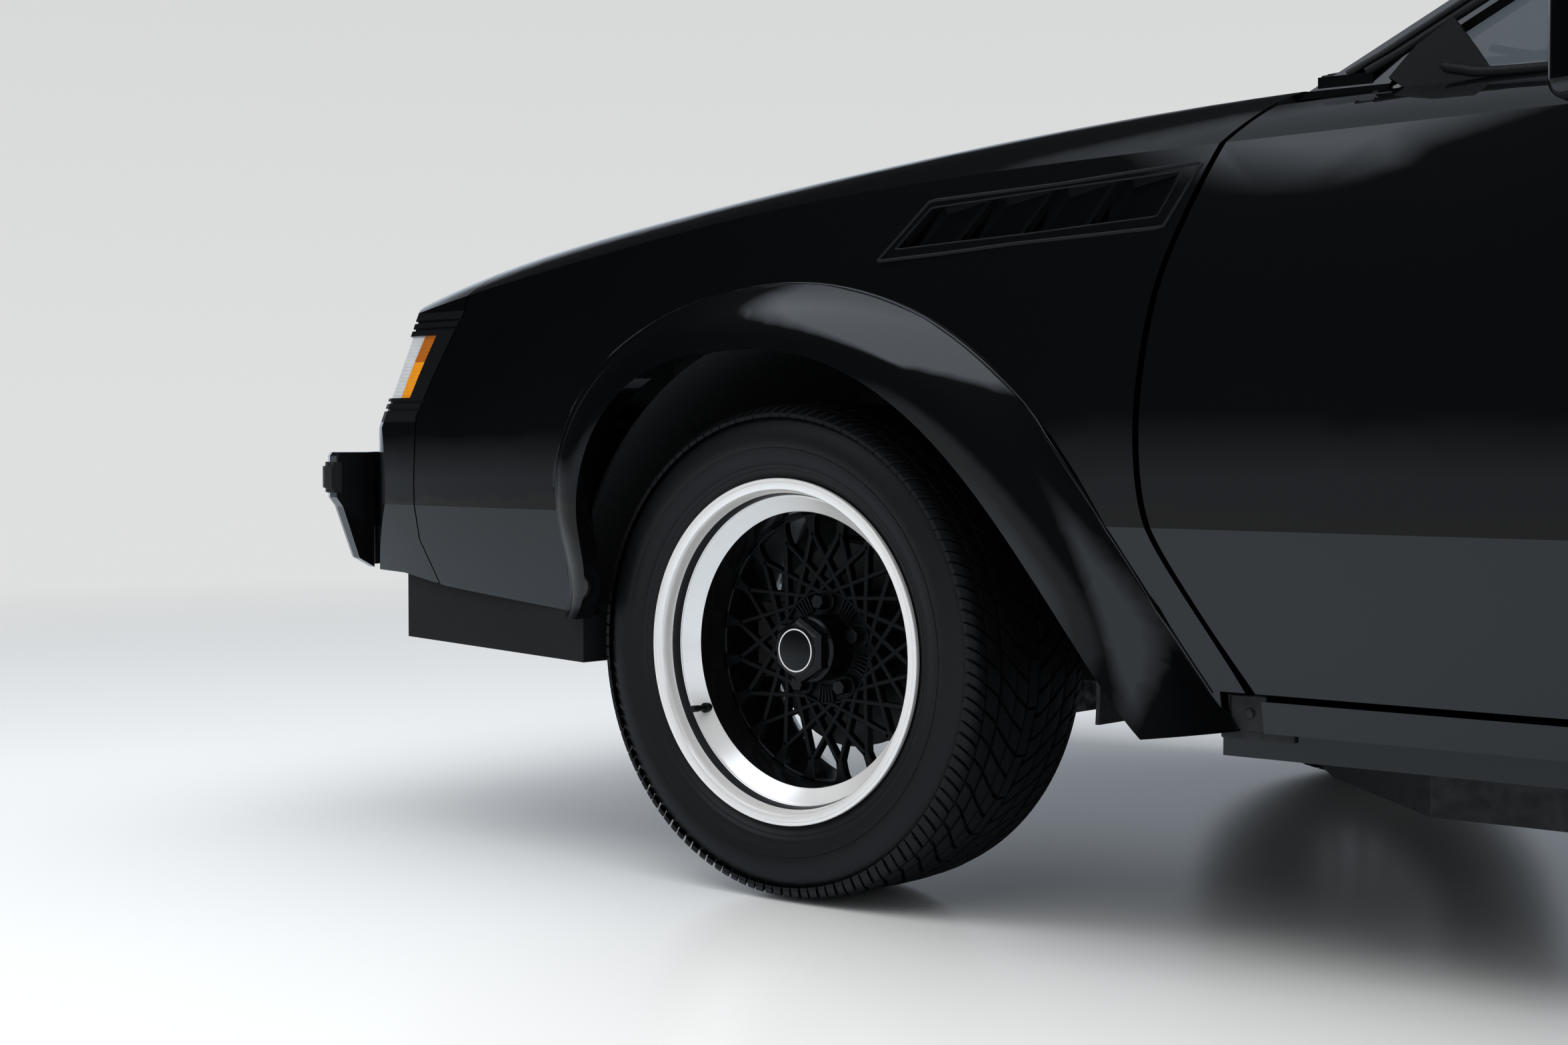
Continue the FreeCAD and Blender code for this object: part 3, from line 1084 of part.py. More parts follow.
def build():
    fender = front_fender()
    keep("fender_left", largest(fender))
    keep("fender_right", mirrored(largest(fender)))
    tab = hinge_tab(HOOD_HINGE_X, HOOD_HINGE_A, HOOD_HINGE_Z)
    hood = SHELL.common(hood_plan(0)).cut(box(-1000, 1000, -1000, 900, 0, 700))
    keep("hood", largest(fused([hood, hood_bulge(), tab, mirrored(tab)])))
    keep("nose_panel", nose_panel())
    keep("headlamps", headlamps())
    keep("marker_lamps", marker_lamps())
    bezel = largest(lamp_bezels())
    keep("lamp_bezels", both(bezel))
    keep("grille", grille())
    keep("bumper_front", front_bumper())
    keep("bumper_rear", rear_bumper())
    keep("bumper_strips", bumper_strips())
    keep("air_dam", air_dam())
    leaf = door()
    glass = largest(door_glass())
    slot = greenhouse(6 - FIT).cut(greenhouse(6 + GLASS_T + FIT))
    leaf = leaf.cut(slot).fuse(mirror_shell())
    keep("door_left", largest(leaf))
    keep("door_right", mirrored(largest(leaf)))
    keep("door_glass_left", glass)
    keep("door_glass_right", mirrored(glass))
    keep("roof", largest(roof_shell()))
    keep("windscreen", largest(PANE.common(front_glass_region(FIT)).cut(BODY)))
    keep("rear_window", largest(PANE.common(rear_glass_region(FIT)).cut(BODY)))
    quarter_glass = largest(PANE.common(side_window(QUARTER_WINDOW)))
    keep("quarter_windows", both(quarter_glass))
    quarter = quarter_panel()
    keep("quarter_left", quarter)
    keep("quarter_right", mirrored(quarter))
    keep("rockers", both(rocker()))
    cowl = SHELL.common(box(-1000, 1000, HOOD_REAR_A + PANEL_GAP, 860, 800, 1100))
    cowl = cowl.cut(hood_swing())
    keep("cowl", largest(cowl.cut(box(-1000, 1000, 0, 900, 0, 850)).cut(NODES["fender_left"])
                         .cut(NODES["fender_right"]).cut(door_outline(PANEL_GAP))
                         .cut(mirrored(door_outline(PANEL_GAP)))))
    tab = hinge_tab(LID_HINGE_X, LID_HINGE_A, LID_HINGE_Z)
    lid = SHELL.common(lid_zone(0))
    keep("trunk_lid", largest(fused([lid, spoiler(), tab, mirrored(tab)])))
    keep("tail_panel", largest(tail_panel()))
    keep("tail_lamps", tail_lamps())
    keep("chassis_frame", chassis_frame())
    front_well, rear_well = wheel_wells()
    keep("wheel_wells", Part.makeCompound([front_well, mirrored(front_well), rear_well, mirrored(rear_well)]))
    keep("floor_pan", floor_pan())
    keep("front_suspension", front_suspension())
    keep("engine_block", box(-190, 190, -380, 215, 290, 760))
    keep("radiator", box(-335, 335, -680, -625, 330, 740))
    keep("driveline", driveline())
    keep("rear_axle", rear_axle())
    keep("exhaust", exhaust())
    keep("fuel_tank", box(-400, 400, WHEELBASE + 384, WHEELBASE + 974, 270, 400))
    keep("dashboard", dashboard())
    keep("steering_wheel", steering_wheel())
    keep("front_seats", both(seat(370)))
    keep("rear_seat", rear_seat())
    spindle = knuckle()
    keep("knuckle_left", spindle)
    keep("knuckle_right", mirrored(spindle))
    for name, a, x, width in (("front", 0, WHEEL_X_FRONT, TYRE_W_FRONT),
                              ("rear", WHEELBASE, WHEEL_X_REAR, TYRE_W_REAR)):
        rim = wheel_rim(RIM_W)
        rubber = tyre(width)
        for shape in (rim, rubber):
            shape.translate(Vector(x, at(a), TYRE_R))
        keep("rim_" + name + "_left", rim)
        keep("rim_" + name + "_right", mirrored(rim))
        keep("tyre_" + name + "_left", rubber)
        keep("tyre_" + name + "_right", mirrored(rubber))


build()
for name, shape in NODES.items():
    shape.exportStep("parts/" + name + ".step")
    print(name, len(shape.Solids), round(shape.Volume / 1e6, 2), shape.isValid())
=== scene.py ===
"""Looks of the muscle coupe: materials, wheels, tyres, trim, cabin, studio and camera.

Metres. +Z up, front of the car towards -Y, +X is the car's left side. A place called a is counted in metres
behind the front axle.
"""
import bpy
import bmesh
from math import cos, exp, hypot, pi, radians, sin, sqrt
from mathutils import Matrix, Vector
from mathutils.bvhtree import BVHTree

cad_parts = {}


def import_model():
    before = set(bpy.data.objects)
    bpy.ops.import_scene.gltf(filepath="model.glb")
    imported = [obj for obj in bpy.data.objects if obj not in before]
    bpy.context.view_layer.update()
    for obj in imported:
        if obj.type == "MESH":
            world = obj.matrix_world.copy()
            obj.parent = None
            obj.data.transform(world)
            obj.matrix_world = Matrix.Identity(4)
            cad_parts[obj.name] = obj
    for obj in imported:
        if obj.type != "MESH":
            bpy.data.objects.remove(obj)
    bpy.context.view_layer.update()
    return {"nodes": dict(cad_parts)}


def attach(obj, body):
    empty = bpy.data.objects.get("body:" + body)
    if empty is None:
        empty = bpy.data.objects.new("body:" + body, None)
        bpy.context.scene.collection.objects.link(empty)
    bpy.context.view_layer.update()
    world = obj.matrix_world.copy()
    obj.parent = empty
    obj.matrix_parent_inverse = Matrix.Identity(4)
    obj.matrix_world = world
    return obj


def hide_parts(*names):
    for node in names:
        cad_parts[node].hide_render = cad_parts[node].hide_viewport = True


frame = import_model()
NODES = frame["nodes"]

WHEELBASE = 2.746
AXLE_Y = -1.4935
TYRE_R = 0.318
SIDES = ((1, "left"), (-1, "right"))
# Wheel centre x and y, side of the car, tyre width
WHEELS = {
    "front_left": (0.743, AXLE_Y, 1, 0.245),
    "front_right": (-0.743, AXLE_Y, -1, 0.245),
    "rear_left": (0.733, AXLE_Y + WHEELBASE, 1, 0.255),
    "rear_right": (-0.733, AXLE_Y + WHEELBASE, -1, 0.255),
}
CAMERA_AT = (3.1475, 0.5053, 0.5939)
CAMERA_TURN = (87.91, 0, 130.97)
CAMERA_LENS = 55.1
CAMERA_SENSOR = 36.0
MATS = {}


# Materials

class Shader:
    """Adds nodes to one node tree. An input gets a number, a colour, or another node's output."""

    def __init__(self, tree):
        self.nodes, self.links = tree.nodes, tree.links

    def fill(self, node, values):
        for key, value in values.items():
            socket = node.inputs[key]
            if isinstance(value, bpy.types.NodeSocket):
                self.links.new(value, socket)
            elif socket.type == "RGBA":
                socket.default_value = (*value, 1)
            else:
                socket.default_value = value

    def node(self, kind, values=None, **settings):
        node = self.nodes.new("ShaderNode" + kind)
        for key, value in settings.items():
            setattr(node, key, value)
        self.fill(node, values or {})
        return node

    def coords(self, kind="Object"):
        return self.node("TexCoord").outputs[kind]

    def noise(self, coords, scale, detail=3.0, stretch=(1, 1, 1)):
        mapped = self.node("Mapping", {"Scale": stretch, "Vector": coords}).outputs["Vector"]
        return self.node("TexNoise", {"Scale": scale, "Detail": detail, "Vector": mapped}).outputs["Fac"]

    def spread(self, value, low, high, start=0.3, end=0.7):
        """Maps a value's range start..end to low..high."""
        limits = {"From Min": start, "From Max": end, "To Min": low, "To Max": high}
        return self.node("MapRange", {"Value": value, **limits}).outputs["Result"]

    def calc(self, operation, a, b):
        return self.node("Math", {0: a, 1: b}, operation=operation).outputs[0]

    def product(self, first, *others):
        for other in others:
            first = self.calc("MULTIPLY", first, other)
        return first

    def tint(self, share, dark, light):
        return self.node("Mix", {0: share, 6: dark, 7: light}, data_type="RGBA").outputs[2]

    def mixed(self, share, a, b):
        return self.node("MixShader", {0: share, 1: a, 2: b}).outputs[0]

    def bump(self, shader, value, distance):
        node = self.node("Bump", {"Distance": distance, "Strength": 1.0, "Height": value})
        self.fill(shader, {"Normal": node.outputs["Normal"]})


def new_material(name):
    MATS[name] = bpy.data.materials.new("look_" + name)
    MATS[name].use_nodes = True
    tree = MATS[name].node_tree
    return Shader(tree), tree.nodes["Principled BSDF"]


def surface(name, dark, light, rough, grain, height=0.0001, metal=0, shine=0.5, stretch=(1, 1, 1),
            coat=0, coat_rough=0.03, sheen=0):
    """A surface with mottled colour, uneven roughness and a fine grain."""
    tree, shader = new_material(name)
    coords = tree.coords()
    patch = tree.spread(tree.noise(coords, 3.0, 4.0), 0, 1)
    fine = tree.noise(coords, grain, 2.0, stretch)
    dark, light = ([c / 1000 for c in colour] for colour in (dark, light))
    tree.fill(shader, {
        "Base Color": tree.tint(patch, dark, light), "Roughness": tree.spread(fine, *rough),
        "Metallic": metal, "Specular IOR Level": shine, "Coat Weight": coat,
        "Coat Roughness": coat_rough, "Sheen Weight": sheen})
    if height:
        tree.bump(shader, fine, height)


def glass(name, colour, alpha):
    tree, shader = new_material(name)
    film = tree.noise(tree.coords(), 6.0)
    tree.fill(shader, {"Roughness": tree.spread(film, 0, 0.03), "Base Color": colour, "IOR": 1.5,
                       "Alpha": alpha, "Specular IOR Level": 0.6})


def ribbed_lens(name, colour, deep, pitch, alpha=1.0, bands=(), fine=0.0):
    """Moulded lamp lens with level ribs, and darker bands (low, high, share) of the same plastic."""
    soft_edge = 0.0004
    tree, shader = new_material(name)
    coords = tree.coords()
    z = tree.node("SeparateXYZ", {0: coords}).outputs["Z"]
    height = tree.node("TexWave", {"Scale": 0.314 / pitch, "Vector": coords}, bands_direction="Z",
                       wave_profile="SIN").outputs["Fac"]
    patch = tree.noise(coords, 60.0)
    value = tree.tint(tree.spread(patch, 0, 1), colour, tuple(c * 0.9 for c in colour))
    for low, high, share in bands:
        above = tree.spread(z, 0, 1, low - soft_edge, low)
        below = tree.spread(z, 1, 0, high, high + soft_edge)
        value = tree.tint(tree.product(above, below, share), value, deep)
    if fine:
        cross = tree.node("TexChecker", {"Scale": 1 / fine, "Vector": coords}).outputs["Fac"]
        height = tree.calc("ADD", height, cross)
    tree.fill(shader, {"Base Color": value, "Roughness": tree.spread(patch, 0.12, 0.2), "Alpha": alpha,
                       "Coat Weight": 0.5, "Coat Roughness": 0.05})
    tree.bump(shader, height, 0.0006)


def materials():
    """Each surface: dark and light colour in thousandths, roughness, scale and height of the grain."""
    surface("paint", (0.6, 0.7, 0.9), (0.9, 1, 1.3), (0.3, 0.36), 900, 0,
            shine=0.04, coat=1.0, coat_rough=0.012)
    surface("trim", (1.8, 1.8, 2), (3.4, 3.4, 3.8), (0.36, 0.5), 900, 0.00002,
            shine=0.26)
    surface("rub_strip", (5, 5, 6), (8, 8, 9), (0.5, 0.7), 700, 0.00003, shine=0.3)
    surface("dam", (6, 6.5, 7), (10, 10.5, 11), (0.6, 0.75), 500, 0.00004, shine=0.25)
    surface("chassis", (5, 5, 5), (11, 10.5, 10), (0.45, 0.75), 60, 0.0002)
    surface("underseal", (5, 5, 5), (12, 11.5, 11), (0.7, 0.95), 150, 0.0006)
    surface("lip", (950, 940, 930), (970, 960, 950), (0.2, 0.25), 40, 0, metal=0.36)
    surface("groove", (26, 28, 32), (36, 38, 43), (0.28, 0.36), 300, 0, metal=0.5)
    surface("barrel", (3, 3.1, 3.4), (5.8, 5.9, 6.4), (0.16, 0.24), 300, 0, coat=0.3)
    surface("mesh", (1.2, 1.2, 1.4), (2.4, 2.4, 2.7), (0.36, 0.48), 500, 0.00003,
            shine=0.2)
    surface("tyre", (2.4, 2.4, 2.7), (4.2, 4.2, 4.6), (0.44, 0.58), 900, 0.00003,
            shine=0.3)
    surface("iron", (35, 33, 30), (85, 75, 65), (0.5, 0.8), 200, 0.0003, metal=0.7)
    surface("disc", (50, 48, 45), (90, 85, 80), (0.3, 0.45), 300, 0.00005, metal=1)
    surface("exhaust", (280, 260, 230), (420, 400, 380), (0.35, 0.6), 120, metal=1)
    surface("engine", (12, 12, 13), (30, 30, 30), (0.45, 0.7), 160, 0.0002)
    surface("fins", (10, 10, 10), (25, 25, 25), (0.4, 0.7), 300, 0.0003, stretch=(1, 1, 12))
    surface("tank", (30, 30, 30), (60, 58, 55), (0.4, 0.65), 90, 0.0002, metal=0.6)
    surface("cabin", (28, 29, 32), (40, 41, 44), (0.5, 0.68), 1200, 0.00008)
    surface("cloth", (35, 36, 40), (60, 61, 66), (0.85, 0.95), 1500, 0.0003, sheen=0.3)
    surface("carpet", (12, 12, 13), (30, 30, 32), (0.9, 1.0), 900, 0.0015, sheen=0.2)
    surface("chrome", (720, 720, 730), (800, 800, 810), (0.05, 0.14), 80, 0, metal=1)
    surface("white", (700, 700, 690), (780, 780, 770), (0.3, 0.4), 300, 0)
    surface("seal", (1.8, 1.8, 1.8), (3.6, 3.6, 3.6), (0.5, 0.66), 400, 0.00005,
            shine=0.25)
    surface("cap", (1, 1, 1.2), (2, 2, 2.3), (0.26, 0.36), 500, 0.00001,
            shine=0.25, coat=0.12)
    surface("plate", (620, 630, 620), (700, 700, 690), (0.35, 0.5), 200, 0.00002)
    surface("bowl", (800, 800, 820), (880, 880, 900), (0.06, 0.16), 60, 0, metal=1)
    glass("glass", (0.014, 0.026, 0.034), 0.56)
    ribbed_lens("lens", (0.66, 0.68, 0.7), (0.1, 0.1, 0.1), 0.0052, 0.72)
    ribbed_lens("amber", (0.84, 0.3, 0.004), (0.36, 0.088, 0.003), 0.005, 1.0,
                [(0.7, 0.8, 0.9), (0.63, 0.644, 0.45)], 0.003)
    ribbed_lens("red", (0.24, 0.002, 0.002), (0.09, 0.001, 0.001), 0.008, 1.0,
                [(0.7, 0.712, 0.9), (0.776, 0.788, 0.9)])


NODE_MATS = {
    "paint": "fender_left fender_right hood nose_panel bumper_front bumper_rear door_left door_right roof "
             "quarter_left quarter_right rockers cowl trunk_lid tail_panel",
    "trim": "grille lamp_bezels",
    "rub_strip": "bumper_strips",
    "dam": "air_dam",
    "glass": "door_glass_left door_glass_right windscreen rear_window quarter_windows",
    "chassis": "chassis_frame front_suspension",
    "underseal": "wheel_wells floor_pan",
    "engine": "engine_block",
    "fins": "radiator",
    "iron": "driveline rear_axle knuckle_left knuckle_right",
    "exhaust": "exhaust",
    "tank": "fuel_tank",
    "cabin": "dashboard steering_wheel",
    "cloth": "front_seats rear_seat",
    "lens": "headlamps",
    "amber": "marker_lamps",
    "red": "tail_lamps",
    "lip": " ".join("rim_" + name for name in WHEELS),
    "tyre": " ".join("tyre_" + name for name in WHEELS),
}


def dress_nodes():
    """Materials of the CAD nodes."""
    for key, names in NODE_MATS.items():
        for name in names.split():
            mesh = NODES[name].data
            mesh.materials.clear()
            mesh.materials.append(MATS[key])


# Pieces


def polar(x, r, angle):
    """Point at a radius from the X axis; angle 0 is straight down."""
    return (x, r * sin(angle), -r * cos(angle))


def moved(x, y, z):
    return Matrix.Translation((x, y, z))


def at(x, a, z):
    return moved(x, AXLE_Y + a, z)


def turned(degrees, axis="X"):
    return Matrix.Rotation(radians(degrees), 4, axis)


def mirrored(side):
    return Matrix.Scale(side, 4, (1, 0, 0))


def new_object(name, data):
    obj = bpy.data.objects.new(name, data)
    bpy.context.scene.collection.objects.link(obj)
    return obj


class Build:
    """Collects vertices and faces of one piece."""

    def __init__(self):
        self.verts = []
        self.faces = []
        self.paint = []
        self.colour = 0

    def add(self, verts, faces, move=None):
        base = len(self.verts)
        if move is not None:
            verts = [move @ Vector(v) for v in verts]
        self.verts += [tuple(v) for v in verts]
        self.faces += [tuple(base + i for i in f) for f in faces]
        self.paint += [self.colour] * len(faces)

    def loft(self, rings, move=None, loop=False, open_ring=False, ends=(-1, 1)):
        """Skin over rings of equally many points. A loop joins the last ring to the first, without ends.

        Ends are the directions in which the corners of the first and the last ring are taken.
        """
        n, count = len(rings[0]), len(rings)
        faces = []
        for i in range(count if loop else count - 1):
            a, b = n * i, n * ((i + 1) % count)
            for k in range(n - 1 if open_ring else n):
                q = (k + 1) % n
                faces.append((a + k, a + q, b + q, b + k))
        if not loop:
            faces += [tuple(range(n))[::ends[0]], tuple(range(n * (count - 1), n * count))[::ends[1]]]
        self.add([v for ring in rings for v in ring], faces, move)

    def box(self, x0, x1, y0, y1, z0, z1, move=None):
        self.loft([[(x0, y0, z), (x1, y0, z), (x1, y1, z), (x0, y1, z)] for z in (z0, z1)], move)

    def strip(self, stations, low, top, chamfer, move=None):
        """Bar along stations of (y, z, half width), its outer edges chamfered, between x = low and top."""
        n = len(stations)
        rings = []
        for i, (y, z, half) in enumerate(stations):
            y0, z0, _ = stations[max(i - 1, 0)]
            y1, z1, _ = stations[min(i + 1, n - 1)]
            length = hypot(y1 - y0, z1 - z0)
            sy, sz = -(z1 - z0) / length, (y1 - y0) / length
            section = ((-half, low), (-half, top - chamfer), (chamfer - half, top),
                       (half - chamfer, top), (half, top - chamfer), (half, low))
            rings.append([(x, y + sy * lateral, z + sz * lateral) for lateral, x in section])
        self.loft(rings, move, ends=(1, -1))

    def prism(self, outline, depth, move=None):
        """Outline of (u, v) points in local XY, from z = 0 to depth."""
        self.loft([[(u, v, z) for u, v in outline] for z in (0, depth)], move)

    def turn(self, profile, count, move=None, thin=False):
        """Profile of (x, r) points turned about X, closed unless thin or starting on the axis."""
        rings = [[polar(x, r, 2 * pi * i / count) for x, r in profile] for i in range(count)]
        self.loft(rings, move, True, thin or profile[0][1] == 0)

    def pad(self, place, *form):
        self.add(*pad_form(*form), place)

    def tube(self, points, radius, sides=10):
        """Round rod through points, closed at its ends."""
        pts = [Vector(p) for p in points]
        rings = []
        for i, p in enumerate(pts):
            d = (pts[min(i + 1, len(pts) - 1)] - pts[max(i - 1, 0)]).normalized()
            side = d.cross(Vector((0, 0, 1)) if abs(d.z) < 0.9 else Vector((1, 0, 0))).normalized()
            top = side.cross(d)
            angles = [2 * pi * k / sides for k in range(sides)]
            rings.append([p + (side * cos(t) + top * sin(t)) * radius for t in angles])
        self.loft(rings)


def make(name, build, mats, body="car_body", move=None, smooth=30, replaces=(), bevel=0.0):
    """Turns a Build into a piece that rides on a CAD body."""
    mats = mats.split()
    verts = build.verts if move is None else [tuple(move @ Vector(v)) for v in build.verts]
    mesh = bpy.data.meshes.new(name)
    mesh.from_pydata(verts, [], build.faces)
    mesh.polygons.foreach_set("material_index", build.paint)
    mesh.validate()
    bm = bmesh.new()
    bm.from_mesh(mesh)
    bmesh.ops.remove_doubles(bm, verts=bm.verts, dist=1e-6)
    bmesh.ops.recalc_face_normals(bm, faces=bm.faces)
    bm.to_mesh(mesh)
    bm.free()
    obj = new_object(name, mesh)
    for mat in mats:
        mesh.materials.append(MATS[mat])
    if smooth:
        mesh.shade_smooth()
        mesh.set_sharp_from_angle(angle=radians(smooth))
    if bevel:
        mod = obj.modifiers.new("edges", "BEVEL")
        mod.width = bevel
        mod.segments = 2
        mod.limit_method = "ANGLE"
        mod.angle_limit = radians(35)
    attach(obj, body)
    if replaces:
        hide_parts(*replaces)
    return obj


def wheel_frame(x, y, side):
    """Local +X towards the car's outside at a wheel; the pattern is mirrored across the car."""
    return moved(x, y, TYRE_R) @ mirrored(side)


# Tyres

def tyre_profile(half):
    """Outer section of the tyre without its tread blocks, from the bead to the middle, (x, r)."""
    bead = 0.1015
    wall_start = half - 0.021
    foot = [(0, 0.2037), (0.002, 0.215), (0.0035, 0.2222), (0.0065, 0.2255), (0.0088, 0.229),
            (0.0112, 0.2315), (0.0118, 0.2325), (0.0112, 0.2335)]
    wall = [(0.0128, 0.2365), (0.014, 0.238), (0.014, 0.239), (0.0146, 0.243)]
    shoulder = [(0.0028, 0.25), (0.001, 0.258), (0.0008, 0.26), (0.0016, 0.2606), (0.0006, 0.263),
                (0, 0.27), (0.0015, 0.281), (0.0065, 0.292), (0.0125, 0.3005), (0.02, 0.3065),
                (0.04, 0.3088), (0.08, 0.3095), (half, 0.3098)]
    return ([(bead + x, r) for x, r in foot] + [(wall_start + x, r) for x, r in wall]
            + [(half - x, r) for x, r in shoulder])


def lerp(points, value):
    """Second value between the points of a table of pairs."""
    for (x0, r0), (x1, r1) in zip(points, points[1:]):
        if x0 <= value <= x1:
            return r0 + (r1 - r0) * (value - x0) / (x1 - x0)
    return points[-1][1]


# Radius of the tread over the share of the half width
CROWN = [(0, 0.3178), (0.45, 0.3176), (0.75, 0.3158), (0.88, 0.3125), (0.96, 0.3065), (1.0, 0.298)]
# Rows of blocks: start and end as shares of the half width, blocks across one pitch, groove width
TREAD_ROWS = [(-0.07, 0.07, 0.5, 0.002), (0.11, 0.29, 1, 0.0042), (0.315, 0.53, 1, 0.0042),
              (0.58, 0.76, 1, 0.0036), (0.79, 0.97, 2, 0.0022)]
TREAD_PITCHES = 64
GROOVE_R = 0.31


def tread_block(build, half, side, u0, u1, steps, first, last):
    """One block from share u0 to u1 of the half width and between two angles, its foot left open."""
    top, foot = [], []
    for e in range(steps):
        u = u0 + (u1 - u0) * e / (steps - 1)
        x = side * u * half
        r = lerp(CROWN, abs(u))
        sweep = 0.34 * abs(u) ** 1.35 - 0.16 * max(abs(u) - 0.6, 0) ** 1.1
        rim = r - (0.00048 if e in (0, steps - 1) else 0)
        for angle, ease in ((first + sweep, 0.0009), (last + sweep, -0.0009)):
            top.append(polar(x, rim, angle + ease / GROOVE_R))
            foot.append(polar(x, r - (0.0078 if abs(u) < 0.9 else 0.0055), angle))
    n = len(top)
    faces = [(0, n, n + 1, 1), (n - 2, n - 1, 2 * n - 1, 2 * n - 2)]
    for a in range(0, n - 2, 2):
        b = n + a
        faces += [(a, a + 1, a + 3, a + 2), (a, a + 2, b + 2, b), (a + 1, b + 1, b + 3, a + 3)]
    build.add(top + foot, faces)


def tread_blocks(build, half):
    """Directional tread: slanted blocks whose grooves sweep back from the middle to both shoulders."""
    for row, (u0, u1, share, groove) in enumerate(TREAD_ROWS):
        blocks = int(TREAD_PITCHES * share)
        outermost = row == len(TREAD_ROWS) - 1
        for side in ((1, -1) if row else (1,)):
            for i in range(blocks):
                start = 2 * pi * i / blocks + (pi / TREAD_PITCHES if side < 0 else 0)
                wide = groove * (0.7 + 0.6 * (i % 2)) if outermost else groove
                tread_block(build, half, side, u0, u1, 5 if row else 2, start + wide / GROOVE_R,
                            start + 2 * pi / blocks)


def shoulder_chevrons(build, half, count=44):
    """Raised arrow strips on the tyre's shoulders."""
    mid, rise, wide, reach = 0.2865, 0.0075, 0.014, 0.035
    for side, _ in SIDES:
        for i in range(count):
            tail = 2 * pi * i / count
            for r in (mid + rise, mid - rise):
                tip_x = half - 0.0048
                tail_x = half - (0.0038 if r < mid else 0.0082)
                outline = ((tip_x, mid, tail + reach), (tail_x, r, tail), (tail_x, r, tail + wide),
                           (tip_x, mid, tail + reach + wide))
                build.loft([[polar(side * (x + lift), radius, angle) for x, radius, angle in outline]
                            for lift in (0.0009, -0.0021)], ends=(1, 1))


def tyres():
    for name, (x, y, side, width) in WHEELS.items():
        half = width / 2
        build = Build()
        outer = tyre_profile(half)
        inner = [(-0.075, 0.2038), (-0.1, 0.27), (0, 0.298), (0.1, 0.27), (0.075, 0.2038)]
        build.turn(outer + [(-px, r) for px, r in reversed(outer[:-1])] + inner, 160)
        tread_blocks(build, half)
        shoulder_chevrons(build, half)
        make("tyre_tread_" + name, build, "tyre", "wheel_" + name, move=wheel_frame(x, y, side), smooth=32,
             replaces=["tyre_" + name])


# Wheels

def hex_head(build, radius, low, top, chamfer, move=None, turn=0.0):
    """Chamfered hexagon along the local X axis."""
    rings = ((radius, low), (radius, top - chamfer), (radius * 0.9, top - chamfer / 4), (radius * 0.84, top))
    angles = [turn + pi / 3 * i for i in range(6)]
    build.loft([[(x, r * cos(t), r * sin(t)) for t in angles] for r, x in rings], move)


MESH_FACE = 0.022
MESH_THICK = 0.012
LUG_CIRCLE = 0.0603


def lug_place(i):
    return turned(90 + 72 * i) @ moved(0, LUG_CIRCLE, 0)


def mesh_centre(build):
    """Stems on a ring, each splitting into two bars that cross the neighbours' bars, and the hub."""
    face, back, bar, chamfer = MESH_FACE, MESH_FACE - MESH_THICK, 0.0031, 0.0013
    build.turn([(back, 0.1735), (face - 0.0015, 0.1735), (face, 0.175), (face, 0.1795), (back, 0.1795)], 120)
    stem = [(0.1775, 0.015), (0.1745, 0.0118), (0.1705, 0.0088), (0.1655, 0.0068), (0.158, 0.0056),
            (0.15, 0.0052), (0.1462, 0.0046)]
    for i in range(20):
        place = turned(18 * (i + 0.5))
        build.strip([(r, 0, half) for r, half in stem], back, face, chamfer, place)
        for side, _ in SIDES:
            start = Vector((0.1505, 0.0012 * side))
            tip = radians(37.3) * side
            end = Vector((cos(tip), sin(tip))) * 0.0725
            stations = [(*start.lerp(end, t), bar) for t in (0, 0.5, 1)]
            build.strip(stations, back + 0.0004, face - 0.0001 * (1 + side), chamfer, place)
    build.turn([(-0.02, 0.018), (-0.02, 0.072), (face - 0.003, 0.0755), (face - 0.001, 0.074),
                (face - 0.001, 0.072), (face - 0.006, 0.07), (face - 0.006, 0.018)], 96)
    for i in range(5):
        build.turn([(face - 0.008, 0.0155), (face + 0.0005, 0.015), (face + 0.0015, 0.014),
                    (face + 0.0015, 0.0118), (face - 0.002, 0.0112), (face - 0.008, 0.0112)], 32,
                   lug_place(i))
        for k in range(-2, 3):
            build.strip([(0.05, 0, 0.0012), (0.0715, 0, 0.0016)], face - 0.01, face - 0.001, 0.0004,
                        turned(126 + 72 * i + 4.87014 * k))


RIM_FACE = 0.1135
# Section of the rim as (depth behind its face, r), from the lip's edge inwards and round its back
LIP = [(0.0035, 0.2214), (0.0008, 0.2212), (0, 0.2205), (0, 0.2172), (0.001, 0.2169), (0.001, 0.2161),
       (0, 0.2157), (0.0003, 0.2092), (0.0011, 0.2074), (0.0032, 0.206), (0.0072, 0.2047), (0.012, 0.2034),
       (0.0172, 0.2022)]
GROOVE = [(0.0178, 0.2018), (0.0292, 0.1996)]
CONE = [(0.0296, 0.1992), (0.0302, 0.1982), (0.0312, 0.1978), (0.0316, 0.197), (0.033, 0.1958),
        (0.0448, 0.1802), (0.046, 0.179)]
BARREL = [(0.0468, 0.1781), (0.0485, 0.1775), (0.09, 0.1785), (0.1315, 0.178), (0.187, 0.184),
          (0.221, 0.198), (0.227, 0.205), (0.227, 0.221), (0.22, 0.221), (0.217, 0.203), (0.185, 0.199),
          (0.167, 0.188), (0.062, 0.189), (0.036, 0.2015), (0.024, 0.2045), (0.01, 0.207),
          (0.0075, 0.2205)]
# Valve stem: (depth behind the rim's face, r) of its foot, shoulder, cap and tip
VALVE = [(0.0475, 0.185), (0.036, 0.1832), (0.023, 0.1826), (0.0115, 0.1822)]
VALVE_TURN = -118.0


